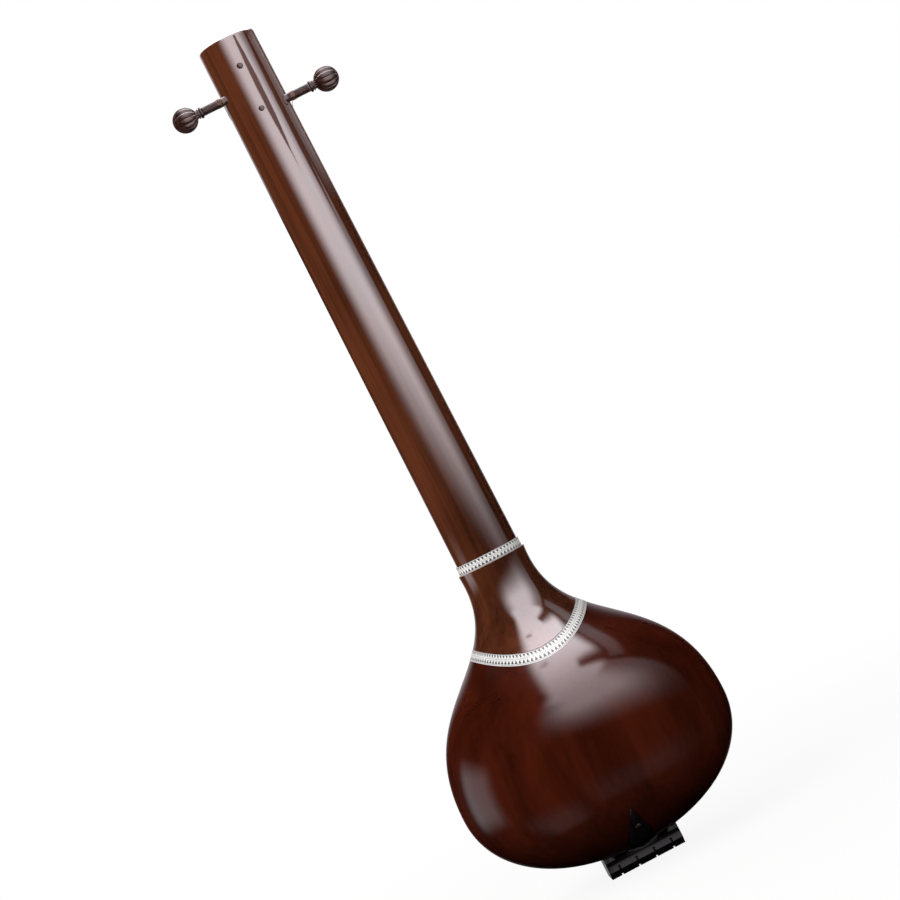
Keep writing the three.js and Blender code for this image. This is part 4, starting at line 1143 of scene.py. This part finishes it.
class TANPURA_OT_neck(bpy.types.Operator):
    """Make the neck's round back and its faceplate"""

    bl_idname = "tanpura.neck"
    bl_label = "Neck"

    def execute(self, context):
        form = NeckForm(context.scene)
        sizes, body, bands = form.sizes, context.scene.tanpura_body, context.scene.tanpura_bands
        plane = body.face + sizes.plate + body.gap
        low = form.foot + body.gap / 2
        band_top = low + bands.neck_width + body.gap
        edge_steps = 6
        knots = [(low, -bands.sunk - body.gap), (band_top, -bands.sunk - body.gap), (band_top, 0.0)]
        long_rows = 40
        straight_top = sizes.top - sizes.edge_round
        knots += [(blend(band_top, straight_top, i / long_rows), 0.0) for i in range(1, long_rows + 1)]
        for i in range(1, edge_steps + 1):
            angle = math.pi / 2 * i / edge_steps
            height = straight_top + sizes.edge_round * math.sin(angle)
            knots.append((height, -sizes.edge_round * (1 - math.cos(angle))))
        heights, offsets = np.array(knots).T
        cap_rows = 3
        rows = len(knots) - 1 + cap_rows

        def place(u, v):
            row = np.rint(v * rows).astype(int)
            index = np.minimum(row, len(knots) - 1)
            points = form.place(heights[index], u, plane, offsets[index])
            share = (np.maximum(row - len(knots) + 1, 0) / cap_rows)[:, None]
            middle = np.stack([0 * u, np.full_like(u, plane), heights[index]], axis=-1)
            return blend(points, middle, share)

        neck = bent_grid("neck_back", 96, rows, place)
        thicken(neck, sizes.wall)
        smooth(neck)
        settle(neck, "neck", "lacquered_wood", "root", "neck")
        # the shoulder's mirror shows the window alone
        neck.visible_glossy = False
        self.make_faceplate()
        return {"FINISHED"}

    def make_faceplate(self):
        """A flat plate that closes the neck's front, its edges slightly rounded."""
        piece = copy_of_node("neck_front", "neck_faceplate")
        bevel(piece, 0.0008, 3)
        smooth(piece)
        settle(piece, "board", "board_wood", "root", "neck_faceplate")
        piece.visible_glossy = False


class TANPURA_OT_front(bpy.types.Operator):
    """Make the soundboard and the strip bound round it"""

    bl_idname = "tanpura.front"
    bl_label = "Soundboard"

    def execute(self, context):
        form = BodyForm(context.scene)
        sizes = form.sizes
        outer = self.outline(form, sizes.binding + sizes.gap)
        rim_share = 0.92
        rows = 24

        def place(u, v):
            index = np.rint(u * (len(outer) - 1)).astype(int)
            x, z = outer[index].T
            lift = sizes.crown * np.maximum(1 - (v / rim_share) ** 2, 0)
            return np.stack([x * v, sizes.face - lift, blend(form.widest, z, v)], axis=-1)

        board = bent_grid("soundboard_plate", len(outer) - 1, rows, place)
        self.face_forward(board)
        thicken(board, sizes.board)
        bevel(board, 0.0006, 2, 60)
        smooth(board)
        settle(board, "board", "board_wood", "root", "soundboard")
        self.make_binding(form, sizes)
        return {"FINISHED"}

    def face_forward(self, piece):
        """Turns a flat piece's faces to the string side."""
        total = sum((face.normal.y * face.area for face in piece.data.polygons), 0.0)
        if total > 0:
            edit(piece, (bpy.ops.mesh.flip_normals, {}))

    def outline(self, form, inset):
        """The flat face's outline as a closed line of points, inset by a width."""
        sizes = form.sizes
        start = form.find(lambda t: form.section(t)[4] < sizes.gourd_axis - sizes.face + inset)
        steps, crowding = 90, 1.5
        t = blend(start, 2.0, np.linspace(0, 1, steps) ** crowding)
        half, height, axis, _, front = form.section(t, -inset)
        x = half * np.sqrt(np.maximum(1 - ((axis - sizes.face) / front) ** 2, 0))
        height = np.minimum(height, sizes.shoulder_top - sizes.gap / 2)
        right = np.stack([x, height], axis=-1)
        left = right[::-1] * (-1, 1)
        top_steps = 8
        top_x = np.linspace(right[-1][0], left[0][0], top_steps)[1:-1]
        top = np.stack([top_x, np.full_like(top_x, right[-1][1])], axis=-1)
        return np.concatenate([right, top, left])

    def make_binding(self, form, sizes):
        """The bound strip fills the width between the body's edge and the soundboard."""
        outer = self.outline(form, 0.0)
        inner = self.outline(form, sizes.binding)
        rings = []
        for outline, y in (
            (outer, sizes.face),
            (outer, sizes.face + sizes.board),
            (inner, sizes.face + sizes.board),
            (inner, sizes.face),
            (outer, sizes.face),
        ):
            rings.append(np.stack([outline[:, 0], np.full(len(outline), y), outline[:, 1]], axis=-1))
        piece = lofted("soundboard_edge", rings, capped=False)
        bevel(piece, 0.0004, 2, 60)
        smooth(piece)
        settle(piece, "plain_ivory", "ivory_inlay", "root", "soundboard_binding")


class TANPURA_OT_tail(bpy.types.Operator):
    """Make the tail block, its pins, the leaf and its screw"""

    bl_idname = "tanpura.tail"
    bl_label = "Tail"

    def execute(self, context):
        form = BodyForm(context.scene)
        tail = context.scene.tanpura_tail
        self.make_block(tail)
        self.make_leaf(form, tail)
        self.make_pins(form, tail)
        for node in ("block_screw_left", "block_screw_right"):
            paint(nodes[node], "steel")
        for string in STRINGS:
            paint(nodes[f"hitch_pin_{string}"], "brass")
        return {"FINISHED"}

    def profile(self, tail, inset=0.0):
        """The block's section in Y and Z, inset all round by a depth."""
        slope = (tail.back - tail.foot_half) / tail.strip
        reach = math.hypot(1, slope)
        back = tail.back - inset
        points = [
            (-tail.foot_half + tail.bevel + inset / 2, inset),
            (tail.foot_half - inset * (reach - slope), inset),
            (back, tail.strip + inset * (reach - 1) / slope),
        ]
        arc_steps = 8
        for i in range(arc_steps + 1):
            angle = math.pi / 2 * i / arc_steps
            y = back - tail.round_depth * (1 - math.cos(angle))
            points.append((y, tail.strip + tail.flat + tail.round_height * math.sin(angle)))
        inner = back - tail.round_depth - tail.ledge
        points.append((inner, points[-1][1]))
        points.append((inner, tail.height))
        points.append((-tail.foot_half + inset, tail.height))
        points.append((-tail.foot_half + inset, tail.bevel + inset / 2))
        return points

    def make_ear(self, tail, side):
        """A raised end, sloping down to the ledge on its inner side."""
        high = tail.width / 2
        low = high - tail.ear
        ledge = tail.strip + tail.flat + tail.round_height
        buried = 0.001
        near = tail.back - tail.round_depth - tail.ledge - buried
        outline = [
            (high, tail.strip),
            (high, tail.height),
            (low, tail.height),
            (low - tail.ear_slope, ledge),
            (low - tail.ear_slope, tail.strip),
        ]
        rings = [[(side * x, y, z) for x, z in outline] for y in (near, tail.ear_back)]
        ear = lofted("ear", rings)
        bevel(ear, 0.0007, 3, 30)
        return ear

    def make_block(self, tail):
        """The block's section run along X with its ears, slotted, softened and hollowed to the gourd."""
        block = prism("tail_piece", self.profile(tail), -tail.width / 2, tail.width / 2)
        bevel(block, 0.0007, 3, 30)
        for side in (1, -1):
            join(block, self.make_ear(tail, side))
        inner = self.profile(tail, tail.slot)[:3]
        reach = 0.02
        front, back = inner[0][0] - reach, inner[2][0] + reach
        outer = [(front, inner[0][1]), (front, -reach), (back, -reach)]
        path = [*inner, (inner[2][0], tail.slot_top), (back, tail.slot_top)]
        for place in (-1.5, -0.5, 0.5, 1.5):
            x = place * tail.spacing
            cutter = prism("slot_cutter", [*outer[::-1], *path], x - tail.slot / 2, x + tail.slot / 2)
            carve(block, cutter)
        carve(block, bpy.data.objects["gourd_shell"], keep=True)
        smooth(block)
        settle(block, "black", "black_wood", "root", "tail_block")

    def make_leaf(self, form, tail):
        """A pointed arch with a ridge, laid on the gourd's back."""
        gap = form.sizes.gap
        start = form.find(lambda t: form.back_point(t, 0.0, 0.0)[1] < tail.back + 2 * gap)
        end = form.at_height(tail.leaf_tip)
        start_height = form.outline(start)[1]
        rows, half_columns = 40, 12
        across = np.linspace(-1, 1, half_columns + 1)
        rings = []
        for i in range(rows):
            t = blend(start, end, i / rows)
            rise = (form.outline(t)[1] - start_height) / (tail.leaf_tip - start_height)
            half = tail.leaf_half * (1 - rise**tail.leaf_pointed)
            ridge = blend(tail.leaf_ridge, tail.leaf_edge, rise**2)
            low = form.back_point(t, across * half, gap)
            thickness = blend(ridge, tail.leaf_edge, np.abs(across) ** 0.8)
            high = form.back_point(t, across * half, gap + thickness)
            rings.append(np.concatenate([low, high[::-1]]))
        tip = form.back_point(end, 0.0, tail.leaf_edge)
        rings.append(np.tile(tip, (len(rings[0]), 1)))
        leaf = lofted("tail_leaf_piece", rings)
        bevel(leaf, 0.0004, 2, 50)
        smooth(leaf, 25)
        settle(leaf, "black", "black_wood", "root", "tail_leaf")

    def make_pins(self, form, tail):
        """Domed heads: two in the block's corners and one on the leaf."""
        gap = form.sizes.gap
        for side, sign in (("left", 1), ("right", -1)):
            place = Vector((sign * (tail.width / 2 - tail.pin_inset), tail.ear_back + gap, tail.pin_height))
            pin = self.domed(f"corner_pin_{side}", tail.pin_radius, 0.0014, 0.008, place, Vector((0, 1, 0)))
            settle(pin, "black", "pin_brass", "root", f"block_pin_{side}")
        t = form.at_height(tail.screw_height)
        way = form.back_way(t)
        place = Vector(form.back_point(t, 0.0, 0.0)) + way * (tail.leaf_ridge + 2 * gap)
        screw = self.domed("leaf_screw_head", tail.screw_radius, 0.0026, 0.010, place, way)
        settle(screw, "brass", "pin_brass", "root", "leaf_screw")

    def domed(self, name, radius, height, shank, place, way):
        """A pin with a domed head that stands on a place, along a way."""
        collar, dome_steps, sides = 0.12, 8, 40
        profile = [(-shank, radius * 0.3, 0), (0, radius * 0.35, 0), (0, radius * 0.94, 0)]
        profile.append((height * collar, radius, 0))
        for i in range(1, dome_steps):
            angle = math.pi / 2 * i / dome_steps
            level = height * blend(collar, 1, math.sin(angle))
            profile.append((level, radius * math.cos(angle), 0))
        piece = turned(name, profile, place, way, sides)
        smooth(piece)
        return piece


class TANPURA_OT_pegs(bpy.types.Operator):
    """Make the four tuning pegs with their ribbed balls"""

    bl_idname = "tanpura.pegs"
    bl_label = "Pegs"

    def execute(self, context):
        pegs = context.scene.tanpura_pegs
        neck = NeckForm(context.scene)
        body = context.scene.tanpura_body
        side_y = body.face + pegs.side_setback
        entry_share = math.sqrt(1 - ((side_y - neck.sizes.axis) / neck.sizes.back) ** 2)
        head_depth = neck.sizes.axis - body.face + neck.sizes.back
        clearance = 0.003

        def front(below_top, proud):
            place = Vector((0, body.face, neck.sizes.top - below_top))
            return place, Vector((0, -1, 0)), head_depth + proud

        def beside(below_top, sign):
            height = neck.sizes.top - below_top
            entry = neck.half_at(height) * entry_share
            depth = entry - pegs.shaft - clearance
            return Vector((sign * entry, side_y, height)), Vector((sign, 0, 0)), depth

        places = {
            "front_lower": front(pegs.lower_below_top, pegs.lower_proud),
            "front_upper": front(pegs.front_upper_below_top, pegs.upper_proud),
            "side_lower": beside(pegs.lower_below_top, -1),
            "side_upper": beside(pegs.side_upper_below_top, 1),
        }
        for name in PEGS:
            self.make_peg(name, pegs, *places[name])
        return {"FINISHED"}

    def make_peg(self, name, pegs, place, way, depth):
        """A tapered shaft, turned rings and a ball with ribs that run from end to end."""
        profile = self.shaft_profile(pegs, depth)
        ball_middle = pegs.exposed + pegs.ball
        throat = math.asin(0.36)
        rows = 34
        for i in range(rows + 1):
            tilt = blend(throat - math.pi / 2, math.pi / 2, i / rows)
            depth_share = math.cos(tilt) ** 0.5 if i < rows else 0.0
            out = max(pegs.ball * math.cos(tilt), 1e-5)
            profile.append((ball_middle + pegs.ball * math.sin(tilt), out, depth_share))
        sides = pegs.ribs * 10
        angles = np.arange(sides) * 2 * math.pi / sides
        groove = 1 - np.abs(np.sin(angles * pegs.ribs / 2)) ** 0.8
        peg = turned(f"ribbed_peg_{name}", profile, place, way, sides, groove * pegs.rib_depth)
        smooth(peg, 50)
        settle(peg, "peg", "peg_wood", f"peg_{name}", f"peg_{name}")
        peg.visible_glossy = False

    def shaft_profile(self, pegs, depth):
        """Heights and radii from the tip to the ball's throat, with fine turned beads along the shaft."""
        tip_round = 0.0012
        profile = [(-depth, pegs.tip - tip_round, 0.0), (-depth + tip_round, pegs.tip, 0.0)]
        profile.append((0.0, pegs.shaft, 0.0))
        bead = 0.0013
        start, end = 0.0035, pegs.exposed - 0.0085
        count = int((end - start) / bead)
        for i in range(count):
            for share, dip in ((0.0, 0.00032), (0.25, 0.0), (0.5, -0.00012), (0.75, 0.0)):
                profile.append((start + (i + share) * bead, pegs.shaft - dip, 0.0))
        ring_low = pegs.exposed - 0.0080
        ring_steps = 8
        for start, end, radius in ((0, 0.0042, pegs.ring), (0.0046, 0.0070, 0.0069)):
            low, high = ring_low + start, ring_low + end
            for i in range(ring_steps + 1):
                angle = math.pi * i / ring_steps
                level = blend(low, high, (1 - math.cos(angle)) / 2)
                profile.append((level, blend(pegs.shaft - 0.0004, radius, math.sin(angle)), 0.0))
        return profile


class TANPURA_OT_strings(bpy.types.Operator):
    """Finish the strings and wind them on the pegs"""

    bl_idname = "tanpura.strings"
    bl_label = "Strings"

    def execute(self, context):
        pegs = {1: "side_lower", 2: "front_upper", 3: "front_lower", 4: "side_upper"}
        for string in STRINGS:
            name = "bronze_wire" if string in (1, 4) else "steel_wire"
            paint(nodes[f"string_{string}"], name)
            winding = copy_of_node(f"turns_{string}", f"winding_{string}")
            modify(winding, "SUBSURF", levels=1, render_levels=1)
            smooth(winding, 80)
            settle(winding, name, name, f"peg_{pegs[string]}", f"winding_{string}")
        return {"FINISHED"}


class TANPURA_OT_bridge(bpy.types.Operator):
    """Finish the bridge, its plate and threads, the saddle, the nut and the guide"""

    bl_idname = "tanpura.bridge"
    bl_label = "Bridge and nut"

    def execute(self, context):
        self.softened("bridge_body", "bridge_base", "peg", "peg_wood", 0.0009)
        for name, node in (
            ("bridge_top", "bridge_plate"),
            ("saddle_ridge", "tail_saddle"),
            ("nut_bar", "string_nut"),
            ("guide_bar", "string_guide"),
        ):
            self.softened(name, node, "bone", "bone", 0.0004)
        for string in STRINGS:
            paint(nodes[f"bridge_thread_{string}"], "cotton")
        return {"FINISHED"}

    def softened(self, name, node, finish, slot, width):
        """A copy of a frame piece with its sharp edges rounded."""
        piece = copy_of_node(name, node)
        bevel(piece, width, 3, 30)
        smooth(piece)
        settle(piece, finish, slot, "root", node)


class TANPURA_OT_beads(bpy.types.Operator):
    """Give the tuning beads their finish"""

    bl_idname = "tanpura.beads"
    bl_label = "Tuning beads"

    def execute(self, context):
        for string in STRINGS:
            paint(nodes[f"tuning_bead_{string}"], "bead")
        return {"FINISHED"}


class TANPURA_OT_inner(bpy.types.Operator):
    """Finish the blocks inside the body"""

    bl_idname = "tanpura.inner"
    bl_label = "Inner blocks"

    def execute(self, context):
        for node in ("neck_joint_block", "inner_tail_block"):
            paint(nodes[node], "raw")
        return {"FINISHED"}


OPERATORS = (
    TANPURA_OT_stage,
    TANPURA_OT_resonator,
    TANPURA_OT_bands,
    TANPURA_OT_neck,
    TANPURA_OT_front,
    TANPURA_OT_tail,
    TANPURA_OT_pegs,
    TANPURA_OT_strings,
    TANPURA_OT_bridge,
    TANPURA_OT_beads,
    TANPURA_OT_inner,
)


class TANPURA_PT_panel(bpy.types.Panel):
    """The steps that build the tanpura"""

    bl_idname = "TANPURA_PT_panel"
    bl_label = "Tanpura"
    bl_space_type = "VIEW_3D"
    bl_region_type = "UI"
    bl_category = "Tanpura"

    def draw(self, context):
        for operator in OPERATORS:
            self.layout.operator(operator.bl_idname)
        for name in GROUPS:
            group = getattr(context.scene, name)
            for setting in group.bl_rna.properties.keys():
                if setting not in ("rna_type", "name"):
                    self.layout.prop(group, setting)


GROUPS = {
    "tanpura_body": TanpuraBody,
    "tanpura_neck": TanpuraNeck,
    "tanpura_bands": TanpuraBands,
    "tanpura_pegs": TanpuraPegs,
    "tanpura_tail": TanpuraTail,
    "tanpura_finish": TanpuraFinish,
    "tanpura_stage": TanpuraStage,
}


def register():
    """Registers the properties, the operators and the panel."""
    for name, group in GROUPS.items():
        bpy.utils.register_class(group)
        setattr(bpy.types.Scene, name, bpy.props.PointerProperty(type=group))
    for cls in (*OPERATORS, TANPURA_PT_panel):
        bpy.utils.register_class(cls)


def unregister():
    """Removes them again."""
    for cls in (TANPURA_PT_panel, *reversed(OPERATORS)):
        bpy.utils.unregister_class(cls)
    for name, group in GROUPS.items():
        delattr(bpy.types.Scene, name)
        bpy.utils.unregister_class(group)


def main():
    """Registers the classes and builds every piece."""
    register()
    bpy.ops.tanpura.stage()
    bpy.ops.tanpura.resonator()
    bpy.ops.tanpura.bands()
    bpy.ops.tanpura.neck()
    bpy.ops.tanpura.front()
    bpy.ops.tanpura.tail()
    bpy.ops.tanpura.pegs()
    bpy.ops.tanpura.strings()
    bpy.ops.tanpura.bridge()
    bpy.ops.tanpura.beads()
    bpy.ops.tanpura.inner()
    deselect()


if __name__ == "__main__":
    main()
